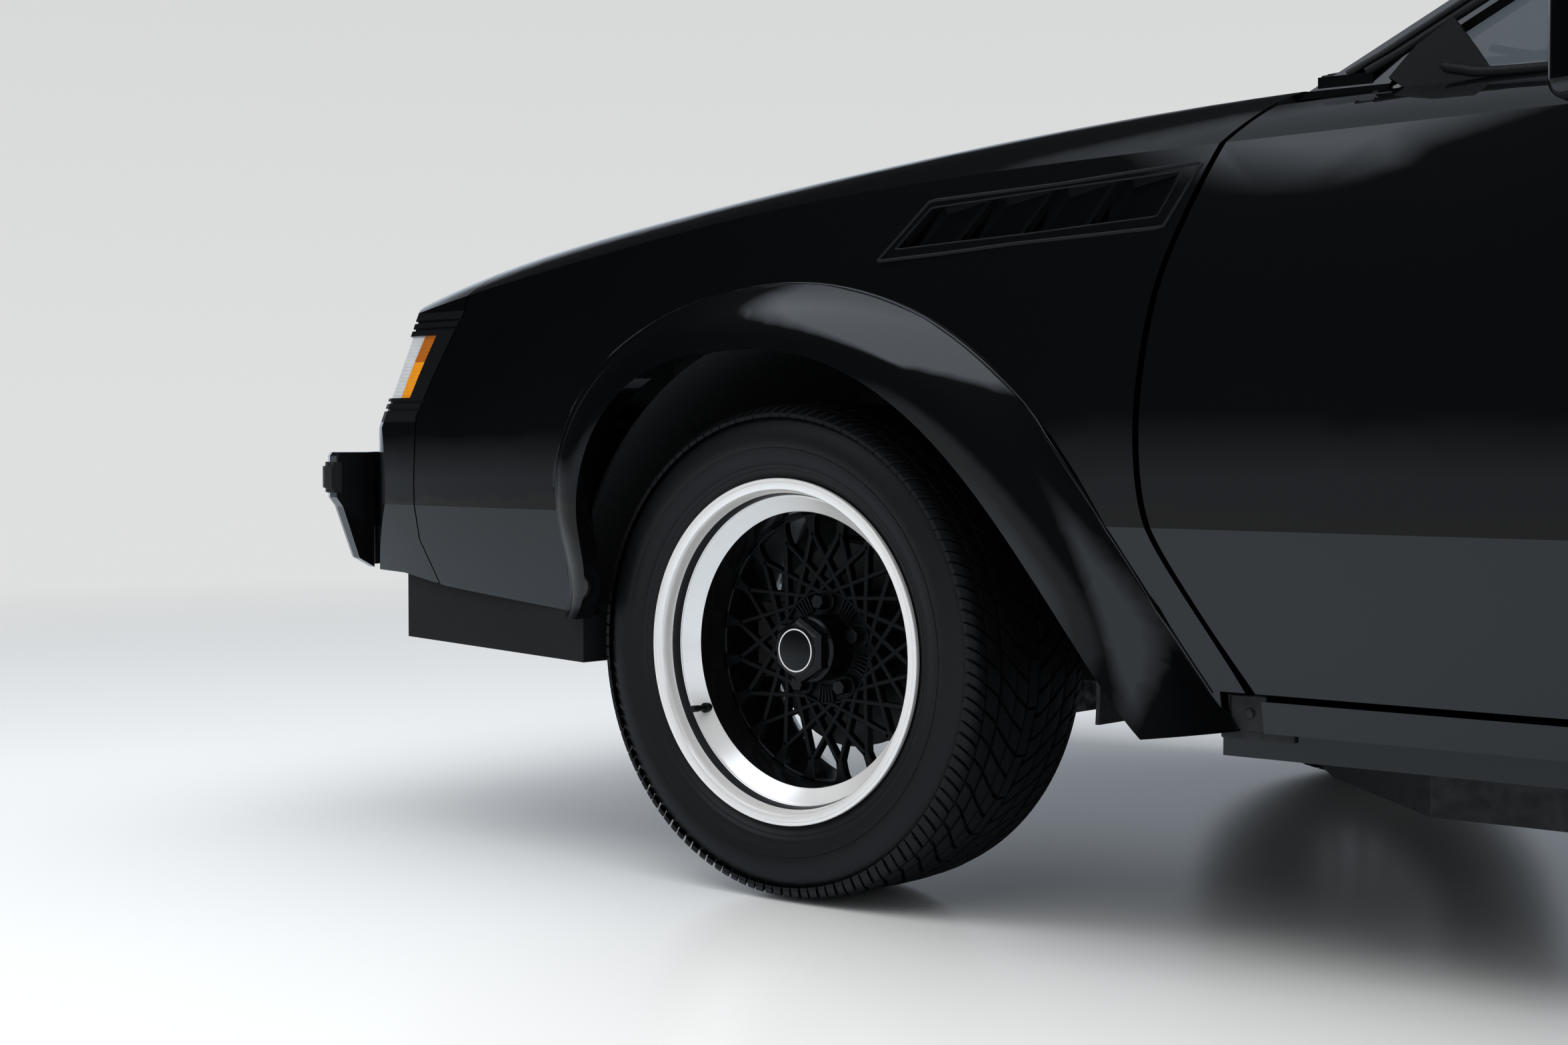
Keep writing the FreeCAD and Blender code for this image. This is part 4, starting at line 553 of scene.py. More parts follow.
def rim_barrel():
    """Rim with polished lip and cone (0), black barrel (1) and charcoal groove (2)."""
    build = Build()
    build.turn([(RIM_FACE - depth, r) for depth, r in LIP + GROOVE + CONE + BARREL], 192)
    tones = [0] * (len(LIP) - 1) + [2] * (len(GROOVE) + 1) + [0] * len(CONE) + [1] * (len(BARREL) - 1) + [0]
    build.paint = [tones[i % len(tones)] for i in range(len(build.faces))]
    return build


def hub_cap():
    """Hexagonal cap with its white ring, and five lug nuts."""
    build = Build()
    build.turn([(0.016, 0), (0.016, 0.0435), (0.0565, 0.0435), (0.0585, 0.042), (0.06, 0.04),
                (0.06, 0)], 72)
    hex_head(build, 0.0425, 0.058, 0.08, 0.007, turn=pi / 2)
    build.turn([(0.0795, 0), (0.0812, 0), (0.0812, 0.0305), (0.0806, 0.0318), (0.0795, 0.032)], 72)
    for i in range(5):
        build.turn([(0.0195, 0), (0.0195, 0.0118), (0.0225, 0.012), (0.0235, 0.0112), (0.0235, 0)], 32,
                   lug_place(i))
        hex_head(build, 0.0109, 0.0225, 0.0385, 0.0022, lug_place(i), 0.3 + i)
    build.colour = 1
    build.turn([(0.081, 0.0262), (0.08145, 0.0262), (0.08145, 0.0279), (0.081, 0.0279)], 72)
    return build


def valve():
    build = Build()
    turn = radians(VALVE_TURN)
    points = [(RIM_FACE - depth, r * sin(turn), r * cos(turn)) for depth, r in VALVE]
    for i, radius in enumerate((0.0066, 0.004, 0.0045)):
        build.tube(points[i:i + 2], radius, 16)
    return build


def wheels():
    for name, (x, y, side, _) in WHEELS.items():
        place = wheel_frame(x, y, side)
        body = "wheel_" + name
        make("rim_barrel_" + name, rim_barrel(), "lip barrel groove", body, move=place, smooth=28,
             replaces=["rim_" + name])
        centre = Build()
        mesh_centre(centre)
        make("rim_mesh_" + name, centre, "mesh", body, move=place, smooth=25)
        make("hub_cap_" + name, hub_cap(), "cap white", body, move=place)
        make("valve_" + name, valve(), "seal", body, place, smooth=40)
        if name.startswith("front"):
            disc = Build()
            disc.turn([(-0.03, 0.068), (-0.03, 0.134), (-0.036, 0.134), (-0.036, 0.13), (-0.041, 0.13),
                       (-0.041, 0.134), (-0.047, 0.134), (-0.047, 0.068)], 96)
            disc.turn([(-0.019, 0.02), (-0.019, 0.069), (-0.05, 0.071), (-0.05, 0.02)], 72)
            make("brake_disc_" + name, disc, "disc", body, move=place)


# Trim that follows the body

TREES = {}


def cast(node, start, toward):
    """First point of a CAD node on a ray, or None."""
    if node not in TREES:
        mesh = NODES[node].data
        TREES[node] = BVHTree.FromPolygons([v.co.copy() for v in mesh.vertices],
                                           [tuple(p.vertices) for p in mesh.polygons])
    return TREES[node].ray_cast(Vector(start), Vector(toward).normalized(), 4.0)[0]


def side_point(node, a, z, side, proud=0.0):
    """Point on a node's outer side."""
    hit = cast(node, (side * 1.3, AXLE_Y + a, z), (-side, 0, 0))
    return None if hit is None else hit + Vector((side * proud, 0, 0))


def end_point(node, x, z, toward=1):
    """Point on a node seen from the car's front, or from its rear with toward = -1."""
    return cast(node, (x, -3.0 * toward, z), (0, toward, 0))


def smooth_path(points, per=6):
    """Catmull-Rom points through (u, v) pairs."""
    out = []
    n = len(points)
    for i in range(n - 1):
        p0, p1, p2, p3 = (Vector(points[max(0, min(n - 1, i + k))]) for k in (-1, 0, 1, 2))
        for k in range(per):
            t = k / per
            out.append(0.5 * (2 * p1 + (p2 - p0) * t + (2 * p0 - 5 * p1 + 4 * p2 - p3) * t * t
                              + (3 * p1 - p0 - 3 * p2 + p3) * t ** 3))
    return out + [Vector(points[-1])]


def side_bead(name, curve, node, side, radius, mat, body="car_body", proud=0.0):
    """Round bead on the car's side along (a, z) points."""
    hits = [side_point(node, a, z, side, proud) for a, z in smooth_path(curve)]
    build = Build()
    build.tube([hit for hit in hits if hit is not None], radius, 8)
    make(name, build, mat, body, smooth=60)


FLARE_SEAM_FRONT = [(-0.368, 0.508), (-0.32, 0.654), (-0.194, 0.742), (-0.043, 0.778), (0.112, 0.776),
                    (0.261, 0.732), (0.391, 0.647), (0.494, 0.53), (0.58, 0.401), (0.64, 0.312)]
FLARE_SEAM_REAR = [(-0.448, 0.438), (-0.362, 0.584), (-0.238, 0.704), (-0.082, 0.763), (0.088, 0.763),
                   (0.244, 0.712), (0.36, 0.597), (0.419, 0.462), (0.43, 0.37)]
# Lower and upper end of the side window's front edge, and the door's rear end
WINDOW_LOW = (0.822, 0.992)
WINDOW_TOP = (1.328, 1.312)
DOOR_END = 1.962
GLASS_CORNER = [(0.806, 0.972), (0.828, 0.957), (0.93, 0.957), (0.905, 0.985), (0.872, 1.03),
                (0.838, 1.004)]
VENT_OUTER = [(0.178, 0.802), (0.25, 0.872), (0.627, 0.891), (0.584, 0.821)]
VENT_INNER = [(0.208, 0.816), (0.257, 0.863), (0.599, 0.882), (0.571, 0.834)]


def side_trim():
    (a0, z0), (a1, z1) = WINDOW_LOW, WINDOW_TOP
    for side, word in SIDES:
        side_bead("flare_bead_front_" + word, FLARE_SEAM_FRONT, "fender_" + word, side, 0.0022, "paint")
        side_bead("flare_bead_rear_" + word, [(a + WHEELBASE, z) for a, z in FLARE_SEAM_REAR],
                  "quarter_" + word, side, 0.0022, "paint")
        for k, (gap, radius, mat) in enumerate(((0.012, 0.0052, "seal"), (0.034, 0.004, "trim"))):
            rise = [(a0 - 0.03 - gap, z0 - 0.012), (a0 + 0.25 - gap, z0 + 0.165),
                    (a1 - 0.09 - gap, z1 - 0.045 + gap * 0.3), (a1 + 0.02, z1 + gap),
                    (a1 + 0.2, z1 + gap + 0.004), (DOOR_END - 0.05, z1 + gap + 0.004),
                    (DOOR_END + 0.14, z1 + gap)]
            side_bead(f"window_moulding_{word}_{k + 1}", rise, "roof", side, radius, mat)
        belt = [(a0 + 0.02, z0 - 0.004), (a0 + 0.06, z0 - 0.018), (a0 + 0.14, z0 - 0.026),
                (a0 + 0.5, z0 - 0.026), (DOOR_END - 0.02, z0 - 0.024)]
        side_bead("belt_seal_" + word, belt, "door_glass_" + word, side, 0.0062, "seal", "door_" + word,
                  0.001)
        for fitting in (glass_corner, vent_frame, handle, mirror_glass, sill_end):
            fitting(side, word)


def glass_corner(side, word):
    """Black corner plate between the pillar's foot and the door glass."""
    hits = [side_point("door_glass_" + word, a, z, side) for a, z in GLASS_CORNER]
    known = [p for p in hits if p is not None]
    outline = []
    for (a, z), hit in zip(GLASS_CORNER, hits):
        near = hit or min(known, key=lambda p: hypot(p.y - AXLE_Y - a, p.z - z))
        outline.append(Vector((near.x, AXLE_Y + a, z)))
    build = Build()
    rings = [[p + Vector((side * lift, 0, 0)) for p in outline] for lift in (0.0015, -0.005)]
    build.loft(rings, ends=(1, -1))
    make("glass_corner_" + word, build, "seal", "door_" + word, bevel=0.0008)


def vent_frame(side, word):
    """Rolled edges of the louvred vent's frame."""
    build = Build()
    for corners, radius, shrink in ((VENT_OUTER, 0.0022, 0.003), (VENT_INNER, 0.0011, -0.0015)):
        corners = [Vector(c) for c in corners]
        middle = sum(corners, Vector((0, 0))) / 4
        points = []
        for k in range(4):
            for t in (0.02, 0.25, 0.5, 0.75, 0.98):
                spot = corners[k].lerp(corners[(k + 1) % 4], t)
                spot += (middle - spot).normalized() * shrink
                points.append(side_point("fender_" + word, *spot, side))
        points = [p for p in points if p is not None]
        build.tube(points + points[:1], radius, 8)
    make("vent_frame_" + word, build, "trim", smooth=60)


def rounded(u, v, corner):
    """Outline of a rectangle of half sizes u and v with cut corners."""
    near_u, near_v = u - corner, v - corner
    return [(-near_u, -v), (near_u, -v), (u, -near_v), (u, near_v), (near_u, v), (-near_u, v), (-u, near_v),
            (-u, -near_v)]


def handle(side, word):
    """Flap handle with its lock, near the door's rear edge."""
    place = side_point("door_" + word, 1.8, 0.8, side, -0.002)
    build = Build()
    outline = rounded(0.094, 0.017, 0.006)
    flat = Matrix(((0, 0, 1, 0), (1, 0, 0, 0), (0, 1, 0, 0), (0, 0, 0, 1)))
    build.prism(outline, 0.006, flat)
    build.prism([(u * 0.9 - 0.004, v * 0.62 + 0.004) for u, v in outline], 0.013, flat)
    build.turn([(0.0, 0), (0.0, 0.0105), (0.008, 0.0105), (0.0095, 0.009), (0.0095, 0)], 24,
               moved(0.001, 0.112, 0.002))
    make("handle_" + word, build, "trim", "door_" + word, move=Matrix.Translation(place) @ mirrored(side),
         bevel=0.0015)


def mirror_glass(side, word):
    """Glass on the mirror's rear face, which leans back with x."""
    rings = []
    for lift in (0.0, 0.0016):
        outline = [(u + 0.941, v + 0.958) for u, v in rounded(0.059, 0.036, 0.006)]
        rings.append([(side * x, AXLE_Y + 1.14 + (x - 0.872) * 12 / 138 + lift, z) for x, z in outline])
    build = Build()
    build.loft(rings, ends=(1, 1))
    make("mirror_glass_" + word, build, "chrome", "door_" + word, bevel=0.0005)


def sill_end(side, word):
    """Closing plate between the fender's rear foot and the rocker, with its screw."""
    build = Build()
    build.box(0.8, 0.858, 0.655, 0.7, 0.2725, 0.312)
    build.box(0.79, 0.852, 0.64, 0.73, 0.262, 0.2745)
    build.turn([(0.853, 0), (0.853, 0.007), (0.8605, 0.0062), (0.862, 0.004), (0.862, 0)], 16,
               moved(0, 0.68, 0.292))
    make("sill_end_" + word, build, "chassis", move=at(0, 0, 0) @ mirrored(side), bevel=0.002)


def glass_edge(node, z, toward):
    """Outermost x at height z where a ray along Y meets the pane."""
    low, high = 0.3, 0.9
    for _ in range(22):
        mid = (low + high) / 2
        if end_point(node, mid, z, toward) is None:
            high = mid
        else:
            low = mid
    return low


def screen_trim():
    """Mouldings round windscreen and rear window."""
    inset, radius = 0.006, 0.0065
    for node, toward, z0, z1 in (("windscreen", 1, 1.0, 1.312), ("rear_window", -1, 0.995, 1.29)):
        build = Build()
        lift = Vector((0, -0.002 * toward, 0.002))
        heights = [z0 + (z1 - z0) * k / 12 for k in range(13)]
        for side, _ in SIDES:
            spots = [(side * (glass_edge(node, z, toward) - inset), z) for z in heights]
            build.tube([end_point(node, x, z, toward) + lift for x, z in spots], radius, 8)
        for z in (z0, z1):
            edge = glass_edge(node, z, toward) - inset
            hits = [end_point(node, edge * (k / 12 - 1), z, toward) for k in range(25)]
            build.tube([hit + lift for hit in hits if hit is not None], radius, 8)
        make("moulding_" + node, build, "seal", smooth=60)


def wipers():
    blade_lift, grip_lift = Vector((0, -0.009, 0.011)), Vector((0, -0.004, 0.006))
    for k, (pivot, tip) in enumerate(((0.52, -0.06), (-0.1, -0.66))):
        build = Build()
        blade = []
        for j in range(9):
            x = pivot - 0.02 + (tip - pivot + 0.02) * j / 8
            blade.append(end_point("windscreen", x, 1.03 + 0.03 * (j / 8)) + blade_lift)
        build.tube(blade, 0.0048, 8)
        middle = blade[4] + Vector((0, -0.01, 0.012))
        foot = Vector((pivot + 0.1, AXLE_Y + 0.64, 1.004))
        build.tube([foot + Vector((0, 0, 0.003)), foot + Vector((-0.03, 0.02, 0.01)),
                    middle + Vector((0.02, 0, 0)), middle], 0.005, 8)
        build.tube([blade[2] + grip_lift, middle, blade[6] + grip_lift], 0.0038, 6)
        build.turn([(-0.012, 0), (-0.012, 0.01), (0.004, 0.009), (0.006, 0.007), (0.006, 0)], 20,
                   Matrix.Translation(foot) @ turned(-90, "Y"))
        make(f"wiper_{k + 1}", build, "trim", smooth=50)


def lamp_frames():
    """Bright frames round the four headlamps."""
    low, high, wide = 0.6415, 0.7445, 0.005
    build = Build()
    for side, _ in SIDES:
        for x0, x1 in ((0.391, 0.557), (0.573, 0.739)):
            for u0, u1, z0, z1 in ((x0, x1, low, low + wide), (x0, x1, high - wide, high),
                                   (x0, x0 + wide, low + wide, high - wide),
                                   (x1 - wide, x1, low + wide, high - wide)):
                front = []
                for x, z in ((u0, z0), (u1, z0), (u1, z1), (u0, z1)):
                    hit = end_point("headlamps", side * x, max(low + 0.001, min(high - 0.001, z)))
                    hit = hit or end_point("lamp_bezels", side * x, z)
                    front.append(Vector((side * x, hit.y - 0.002, z)))
                build.loft([front, [p + Vector((0, 0.006, 0)) for p in front]], ends=(1, -1))
    make("lamp_frames", build, "bowl")


def tail_fittings():
    """Frames round the tail lamps, filler over the rear bumper, blank plate and exhaust tip, with a black
    disc in the tip as painted shade of its hollow.
    """
    y = AXLE_Y + 3.917
    build = Build()
    for side, _ in SIDES:
        low, high = sorted((side * 0.4003, side * 0.7697))
        for z0, z1 in ((0.64, 0.649), (0.841, 0.85)):
            build.box(low, high, y - 0.004, y + 0.003, z0, z1)
        for x in (0.404, 0.579, 0.766):
            build.box(side * x - 0.0045, side * x + 0.0045, y - 0.004, y + 0.003, 0.649, 0.841)
    make("tail_frames", build, "trim", bevel=0.001)
    build = Build()
    build.box(-0.82, 0.82, AXLE_Y + 3.845, AXLE_Y + 3.895, 0.556, 0.5775)
    make("bumper_filler_rear", build, "seal", bevel=0.003)
    build = Build()
    lid_y = end_point("trunk_lid", 0, 0.76, -1).y
    build.box(-0.153, 0.153, lid_y - 0.001, lid_y + 0.0035, 0.688, 0.838)
    build.box(-0.149, 0.149, lid_y + 0.003, lid_y + 0.0042, 0.692, 0.834)
    for x in (-0.085, 0.085):
        for z in (0.702, 0.824):
            build.turn([(0.003, 0), (0.003, 0.0055), (0.0062, 0.005), (0.0066, 0)], 12,
                       moved(x, lid_y, z) @ turned(90, "Z"))
    make("plate_rear", build, "plate", "trunk_lid", bevel=0.001)
    tip = at(0.6, 3.96, 0.3) @ turned(87, "Z")
    build = Build()
    build.turn([(-0.085, 0.0303), (-0.085, 0.0335), (0.0, 0.0335), (0.0015, 0.032), (0.0, 0.0305),
                (-0.0005, 0.03)], 48, tip, thin=True)
    make("exhaust_tip", build, "chrome", smooth=35)
    # Black disc just inside the tip: painted shade standing in for the pipe's dark hollow
    build = Build()
    build.turn([(0.0004, 0), (0.0004, 0.0285)], 32, tip)
    make("exhaust_bore_shade", build, "seal", smooth=0)


def trunk_lining():
    """Carpeted side of the trunk, arched over the wheel well, with its half of the floor mat."""
    top, start, end, thick = 0.885, 1.262, 2.372, 0.016
    sheet, gap, arch, arch_z = 0.002, 0.003, 0.389, 0.33
    floor_z = cast("floor_pan", (0.1, 1.75, 0.8), (0, 0, -1)).z + gap
    axle_y = AXLE_Y + WHEELBASE
    for side, word in SIDES:
        rings = []
        for i in range(49):
            y = start + (end - start) * i / 48
            x = 0.8485 - max(y - 1.7, 0) * 0.072
            over = arch ** 2 - (y - axle_y) ** 2
            low = max(floor_z, arch_z + sqrt(over)) if over > 0 else floor_z
            inner = x - (0.84 if y > axle_y + arch else thick)
            near = x - thick + 0.001
            lip = low + sheet
            section = ((x, top), (x, low), (inner, low), (inner, lip), (near, lip), (near, top))
            rings.append([(side * px, y, z) for px, z in section])
        build = Build()
        build.loft(rings, ends=(1, -1))
        make("trunk_lining_" + word, build, "carpet", smooth=20)


# Cabin

def pad_form(size, radius, crown=(0, 0, 0), cuts=(), bolster=0.0, count=22):
    """Crowned, rounded block about its middle; cuts are sewn channels (axis, place, depth, reach) on top."""
    bolster_at = 0.62
    half = Vector(size) / 2
    lines = []
    for k in range(3):
        edge = min(radius / half[k], 0.9)
        inner = [-(1 - edge) + 2 * (1 - edge) * i / (count - 8) for i in range(count - 7)]
        rim = [1 - edge + edge * sin(pi / 2 * i / 4) for i in range(1, 5)]
        lines.append([-v for v in reversed(rim)] + inner + rim)
    index, verts, faces = {}, [], []

    def spot(key):
        if key in index:
            return index[key]
        p = Vector([lines[m][key[m]] for m in range(3)])
        q = Vector([p[m] * half[m] for m in range(3)])
        core = Vector([max(radius - half[m], min(half[m] - radius, q[m])) for m in range(3)])
        d = q - core
        if d.length > 1e-9:
            q = core + d.normalized() * radius
        for m in range(3):
            a, b = [w for w in range(3) if w != m]
            q[m] += crown[m] * max(0, p[m]) * (1 - p[a] ** 2) * (1 - p[b] ** 2)
        if p[2] > 0.2:
            if bolster:
                rise = max(0.0, abs(p[0]) - bolster_at) / (1 - bolster_at)
                q[2] += bolster * sin(pi * min(rise, 1.0)) * (1 - p[1] ** 4)
            for axis, place, depth, reach in cuts:
                other = p[1 - axis]
                if abs(other) < reach:
                    gap = (p[axis] - place) * half[axis]
                    q[2] -= depth * exp(-(gap / 0.009) ** 2) * min(1, (reach - abs(other)) * 12)
        index[key] = len(verts)
        verts.append(q)
        return index[key]

    last = len(lines[0]) - 1
    for i in range(last):
        for j in range(last):
            for k, flip in ((0, True), (last, False)):
                for order in (((i, j, k), (i + 1, j, k), (i + 1, j + 1, k), (i, j + 1, k)),
                              ((i, k, j), (i, k, j + 1), (i + 1, k, j + 1), (i + 1, k, j)),
                              ((k, i, j), (k, i + 1, j), (k, i + 1, j + 1), (k, i, j + 1))):
                    quad = tuple(spot(key) for key in order)
                    faces.append(quad[::-1] if flip else quad)
    return verts, faces


def lean(x, a, z, degrees):
    """Place for a seat back: local Y is up along the back, local Z is its front."""
    front = Matrix(((1, 0, 0, 0), (0, 0, -1, 0), (0, 1, 0, 0), (0, 0, 0, 1)))
    return at(x, a, z) @ turned(degrees) @ front


def padded_piece(name, place, *form, replaces=()):
    build = Build()
    build.pad(None, *form)
    make(name, build, "cloth", move=place, smooth=60, replaces=replaces)


def seats():
    """Front seats with head restraints, runners and shells, and the rear bench in two halves."""
    back_lean, soft = -15.8, (0, 0.006, 0.012)
    ribs = [(1, -0.5 + 0.25 * k, 0.006, 0.56) for k in range(5)]
    hem = [(0, 0.6, 0.007, 0.93), (0, -0.6, 0.007, 0.93)]
    for side, word in SIDES:
        x = 0.37 * side
        padded_piece("seat_cushion_" + word, at(x, 1.5, 0.497), (0.46, 0.5, 0.115), 0.042, soft, ribs + hem,
                     0.02, replaces=["front_seats"])
        padded_piece("seat_back_" + word, lean(x, 1.868, 0.752, back_lean), (0.45, 0.52, 0.1), 0.04, soft,
                     ribs + hem, 0.018)
        padded_piece("head_restraint_" + word, lean(x, 1.985, 1.082, back_lean), (0.23, 0.125, 0.07), 0.03,
                     (0, 0.004, 0.008), [(1, 0, 0.003, 0.8)])
        build = Build()
        for dx in (-0.05, 0.05):
            build.tube([(x + dx, AXLE_Y + 1.955, 1.0), (x + dx, AXLE_Y + 1.97, 1.04)], 0.006, 12)
        for dx in (-0.18, 0.18):
            rail = at(x + dx, 0, 0)
            build.box(-0.018, 0.018, 1.285, 1.715, 0.302, 0.33, rail)
            for a in (1.32, 1.66):
                build.box(-0.012, 0.012, a, a + 0.05, 0.328, 0.452, rail)
        make("seat_frame_" + word, build, "chassis", bevel=0.002)
        build = Build()
        build.pad(None, (0.435, 0.48, 0.03), 0.014)
        make("seat_shell_" + word, build, "cabin", move=lean(x, 1.913, 0.735, back_lean), smooth=40)
        x = 0.283 * side
        padded_piece("rear_cushion_" + word, at(x, 2.245, 0.5), (0.5, 0.36, 0.12), 0.045, soft, ribs,
                     replaces=["rear_seat"])
        padded_piece("rear_back_" + word, lean(x, 2.45, 0.712, -8), (0.51, 0.33, 0.105), 0.042, soft, ribs)


def gauge_face(build, x, a, z, radius):
    """Dial with its rim (0), ticks and needle (1)."""
    place = at(x, a, z) @ turned(90, "Z")
    build.colour = 0
    build.turn([(-0.004, 0), (-0.004, radius), (0.006, radius), (0.006, radius * 0.94), (0.0, radius * 0.9),
                (0.0, 0)], 40, place)
    build.colour = 1
    for k in range(11):
        build.box(0.0002, 0.001, -0.0009, 0.0009, radius * 0.7, radius * 0.84, place @ turned(-125 + 25 * k))
    build.box(0.001, 0.0016, -0.0011, 0.0011, -radius * 0.1, radius * 0.66, place @ turned(-70))


def dashboard_fittings():
    """Dashboard details on the plain CAD panel: hood over the gauges, vents, radio, glovebox, lever."""
    build = Build()
    build.pad(at(0.385, 0.89, 0.94), (0.46, 0.15, 0.04), 0.016, (0, 0, 0.004))
    build.pad(at(0, 0.8, 0.944), (1.4, 0.2, 0.02), 0.009, (0, 0, 0.002))
    make("gauge_hood", build, "cabin", smooth=50)
    build = Build()
    for x, radius in ((0.47, 0.052), (0.3, 0.052), (0.385, 0.028)):
        gauge_face(build, x, 0.966, 0.868, radius)
    make("gauges", build, "trim white")
    build = Build()
    for x in (0.66, 0.12, -0.12, -0.62):
        vent = at(x, 0, 0)
        for k in range(5):
            build.box(-0.055, 0.055, 0.955, 0.968, 0.848 + 0.011 * k, 0.853 + 0.011 * k, vent)
        for low in (-0.06, 0.055):
            build.box(low, low + 0.005, 0.95, 0.97, 0.842, 0.904, vent)
    for box in ((-0.09, 0.09, 0.95, 0.964, 0.745, 0.8), (-0.6, -0.2, 0.944, 0.957, 0.69, 0.8),
                (-0.42, -0.38, 0.955, 0.963, 0.78, 0.792)):
        build.box(*box, at(0, 0, 0))
    for x in (-0.075, 0.075):
        build.turn([(0, 0), (0, 0.011), (0.016, 0.01), (0.018, 0.008), (0.018, 0)], 24,
                   at(x, 0.962, 0.772) @ turned(90, "Z"))
    make("dash_fittings", build, "trim", bevel=0.0015)
    build = Build()
    build.pad(at(0, 1.42, 0.652), (0.2, 0.34, 0.03), 0.012, (0, 0, 0.004))
    build.tube([(0, AXLE_Y + a, z) for a, z in ((1.02, 0.638), (1.03, 0.7), (1.05, 0.755))], 0.007, 14)
    build.pad(at(0, 1.053, 0.768), (0.036, 0.046, 0.042), 0.016)
    build.pad(at(0, 1.05, 0.646), (0.11, 0.24, 0.014), 0.006)
    make("console_fittings", build, "cabin", smooth=40)
    build = Build()
    build.pad(at(0, 1.335, 1.268), (0.25, 0.022, 0.062), 0.01)
    build.tube([(0, AXLE_Y + 1.322, 1.285), (0, AXLE_Y + 1.3, 1.318)], 0.006, 12)
    make("cabin_mirror", build, "trim", smooth=40)


def steering_wheel():
    place = at(0.385, 1.13, 0.86) @ turned(-64)
    axle = place @ turned(90, "Y")
    build = Build()
    ring = [2 * pi * k / 12 for k in range(12)]
    build.turn([(0.0135 * cos(t), 0.178 + 0.0145 * sin(t)) for t in ring], 72, axle)
    build.turn([(0.03, 0), (0.03, 0.02), (0.03, 0.042), (-0.2, 0.026), (-0.24, 0.026), (-0.24, 0)], 40,
               axle)
    build.pad(place @ moved(0, -0.006, 0.002), (0.135, 0.095, 0.038), 0.016, (0, 0, 0.006))
    for angle in (0, 180, 270):
        build.box(0.03, 0.172, -0.015, 0.015, -0.014, -0.005, place @ turned(angle, "Z"))
    make("steering_wheel_rim", build, "trim", smooth=45,
         replaces=["steering_wheel"])


def door_trim():
    """Inner door panels with arm rest and pockets, pull and loudspeaker."""
    for side, word in SIDES:
        move = at(0, 0, 0) @ mirrored(side)
        build = Build()
        build.pad(moved(0.7555, 1.42, 0.655), (0.046, 0.56, 0.06), 0.018, (0, 0, 0.004))
        for k in range(7):
            build.box(0.7715, 0.7785, 1.08 + 0.1 * k, 1.165 + 0.1 * k, 0.735, 0.885)
        build.box(0.7725, 0.7785, 0.9, 1.86, 0.395, 0.585)
        make("door_panel_" + word, build, "cabin", "door_" + word, move=move, smooth=40, bevel=0.003)
        build = Build()
        build.box(0.768, 0.779, 1.7, 1.8, 0.72, 0.742)
        build.turn([(0.7785, 0), (0.7785, 0.055), (0.7745, 0.055), (0.773, 0.05), (0.773, 0)], 40,
                   moved(0, 1.02, 0.49))
        make("door_pull_" + word, build, "trim", "door_" + word, move=move, bevel=0.001)


# Studio and camera

def world():
    """Pale room for the camera, even light for matt surfaces, and a room of its own for reflections."""
    scene_world = bpy.data.worlds.new("studio")
    bpy.context.scene.world = scene_world
    scene_world.use_nodes = True
    scene_world.node_tree.nodes.clear()
    tree = Shader(scene_world.node_tree)
    spread, product = tree.spread, tree.product

    def background(strength, colour):
        return tree.node("Background", {"Color": colour, "Strength": strength}).outputs[0]

    path = tree.node("LightPath").outputs
    across, along, up = tree.node("SeparateXYZ", {0: tree.coords("Generated")}).outputs
    # Soft box overhead, in coordinates of a ceiling one metre up
    height = tree.calc("MAXIMUM", up, 0.05)
    u, v = tree.calc("DIVIDE", across, height), tree.calc("DIVIDE", along, height)
    front = tree.calc("ADD", v, tree.calc("MULTIPLY", u, 0.2))
    box = product(spread(front, 0, 1, -1.0, -0.8), spread(v, 1, 0, 2.2, 2.8),
                  spread(tree.calc("ADD", u, v), 1, 0, 0.74, 0.86), spread(u, 0.16, 1, -0.25, 0.45),
                  spread(up, 0, 2.1, 0.37, 0.42))
    # Dark room behind the camera, its pale rise at the horizon, the far wall and a panel at the rear
    room = spread(across, 0.012, 0.055, 0.5, 0.85)
    rise = product(spread(up, 1, 0, 0.0, 0.09), spread(up, 0.36, 0.34, -1, 0))
    wall = product(spread(across, 0.72, 0, -0.45, -0.1), spread(up, 1, 0, 0.2, 0.36))
    panel = product(spread(along, 0, 0.9, -0.12, 0.12), spread(up, 1, 0, 0.3, 0.45))
    bright = tree.calc("MAXIMUM", rise, tree.calc("MAXIMUM", wall, panel))
    glossy = background(tree.calc("ADD", tree.calc("ADD", box, room), bright), (0.8, 0.89, 1.0))
    lit = tree.mixed(path["Is Glossy Ray"], background(0.55, (0.95, 0.97, 1.0)), glossy)
    seen = background(spread(up, 0.745, 0.66, 0.0, 0.32), (0.985, 1.0, 0.99))
    direct = tree.calc("MAXIMUM", path["Is Camera Ray"], path["Is Transmission Ray"])
    tree.node("OutputWorld", {0: tree.mixed(direct, lit, seen)})


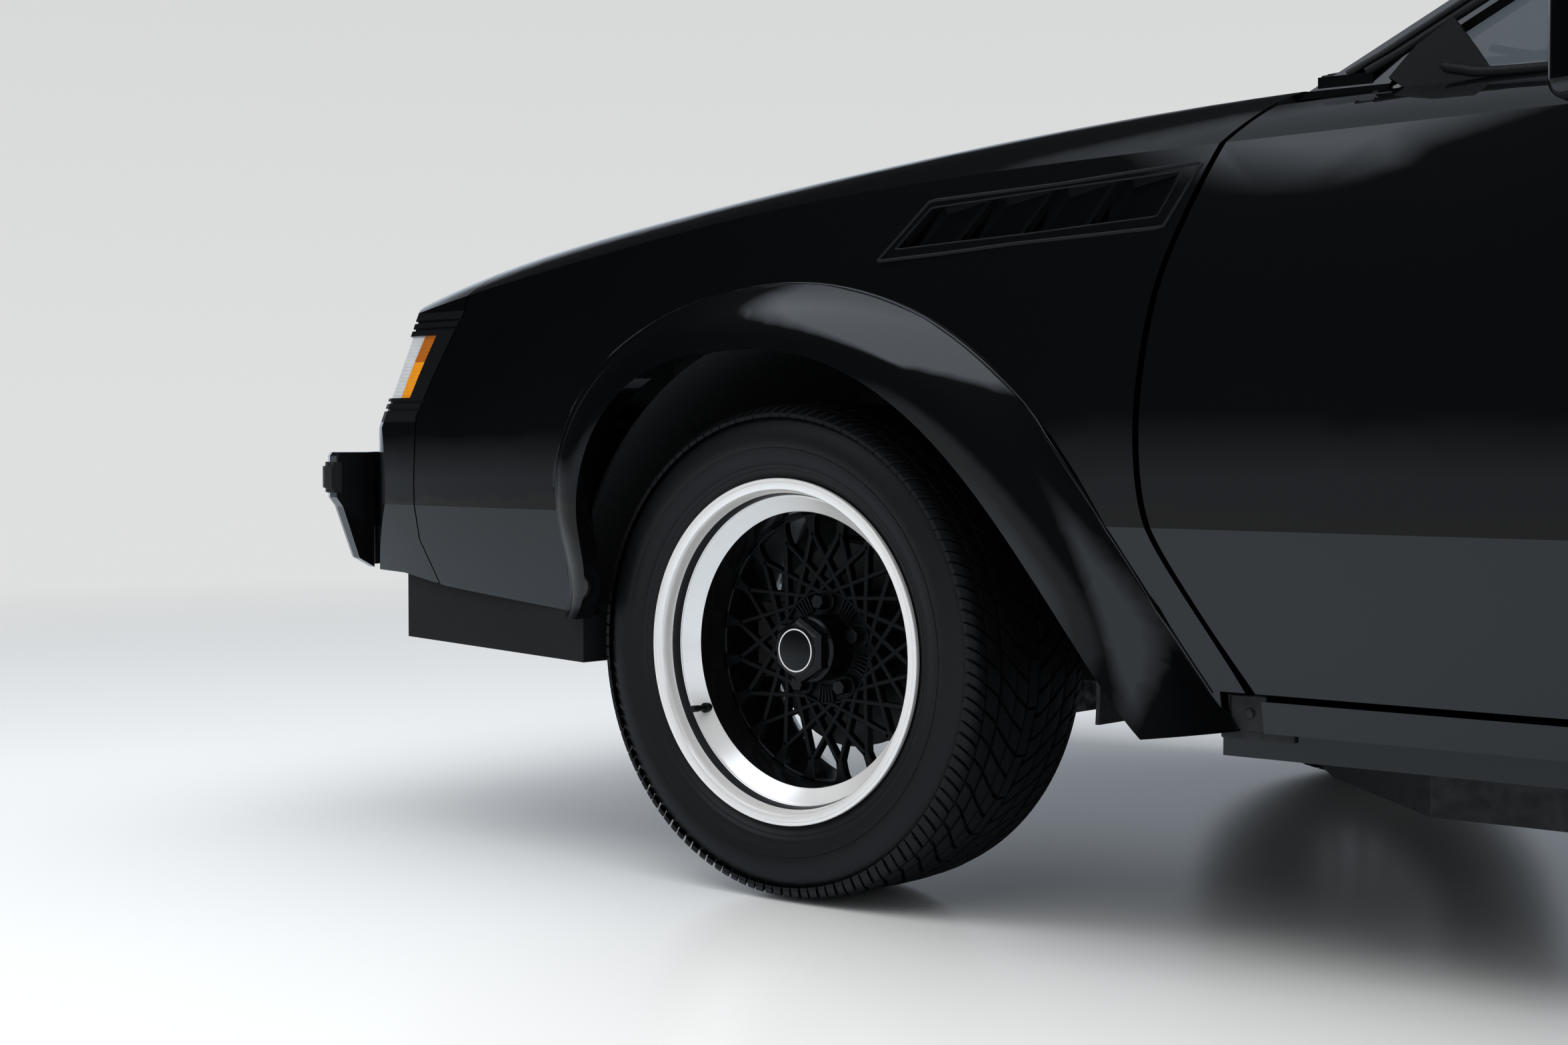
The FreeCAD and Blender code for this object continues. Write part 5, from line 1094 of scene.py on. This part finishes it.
def floor():
    """Pale floor that fades into the wall's tone with distance and looks cooler in reflections."""
    size = 14.0
    mesh = bpy.data.meshes.new("floor")
    mesh.from_pydata([(-size, -size, 0), (size, -size, 0), (size, size, 0), (-size, size, 0)], [],
                     [(0, 1, 2, 3)])
    obj = new_object("floor", mesh)
    tree, shader = new_material("studio_floor")
    coords = tree.coords()
    path = tree.node("LightPath").outputs
    cloud = tree.spread(tree.noise(coords, 0.7, 2.0), 0, 1)
    plain = tree.tint(cloud, (0.79, 0.795, 0.79), (0.81, 0.815, 0.81))
    tree.fill(shader, {"Base Color": tree.tint(path["Is Glossy Ray"], plain, (0.55, 0.63, 0.7)),
                       "Roughness": 0.24, "Specular IOR Level": 0.25})
    seen, dim = (tree.node("Emission", {"Color": colour, "Strength": 1.0}).outputs[0]
                 for colour in ((0.735, 0.745, 0.74), (0.36, 0.365, 0.37)))
    distance = tree.node("VectorMath", {0: coords}, operation="LENGTH").outputs["Value"]
    far = tree.mixed(path["Is Camera Ray"], dim, seen)
    blend = tree.mixed(tree.spread(distance, 0, 1, 3.4, 8.0), shader.outputs[0], far)
    tree.fill(tree.nodes["Material Output"], {"Surface": blend})
    mesh.materials.append(MATS["studio_floor"])


def area_light(name, location, target, width, height, power):
    light = bpy.data.lights.new(name, "AREA")
    light.shape = "RECTANGLE"
    light.size, light.size_y = width, height
    light.energy = power
    obj = new_object(name, light)
    obj.location = location
    obj.rotation_euler = (Vector(target) - Vector(location)).to_track_quat("-Z", "Y").to_euler()
    obj.visible_glossy = False


def studio():
    scene = bpy.context.scene
    scene.view_settings.view_transform = "Standard"
    world()
    floor()
    area_light("overhead", (0.9, -0.6, 4.6), (0.3, -0.4, 0), 6.0, 8.0, 330)
    area_light("front_left", (3.6, -5.2, 3.4), (0.6, -1.5, 0.4), 2.6, 2.6, 55)
    camera = bpy.data.cameras.new("camera")
    camera.sensor_width = CAMERA_SENSOR
    camera.lens = CAMERA_LENS
    obj = new_object("camera", camera)
    obj.location = CAMERA_AT
    obj.rotation_euler = [radians(angle) for angle in CAMERA_TURN]
    scene.camera = obj


materials()
dress_nodes()
tyres()
wheels()
side_trim()
screen_trim()
wipers()
lamp_frames()
tail_fittings()
trunk_lining()
seats()
dashboard_fittings()
steering_wheel()
door_trim()
studio()
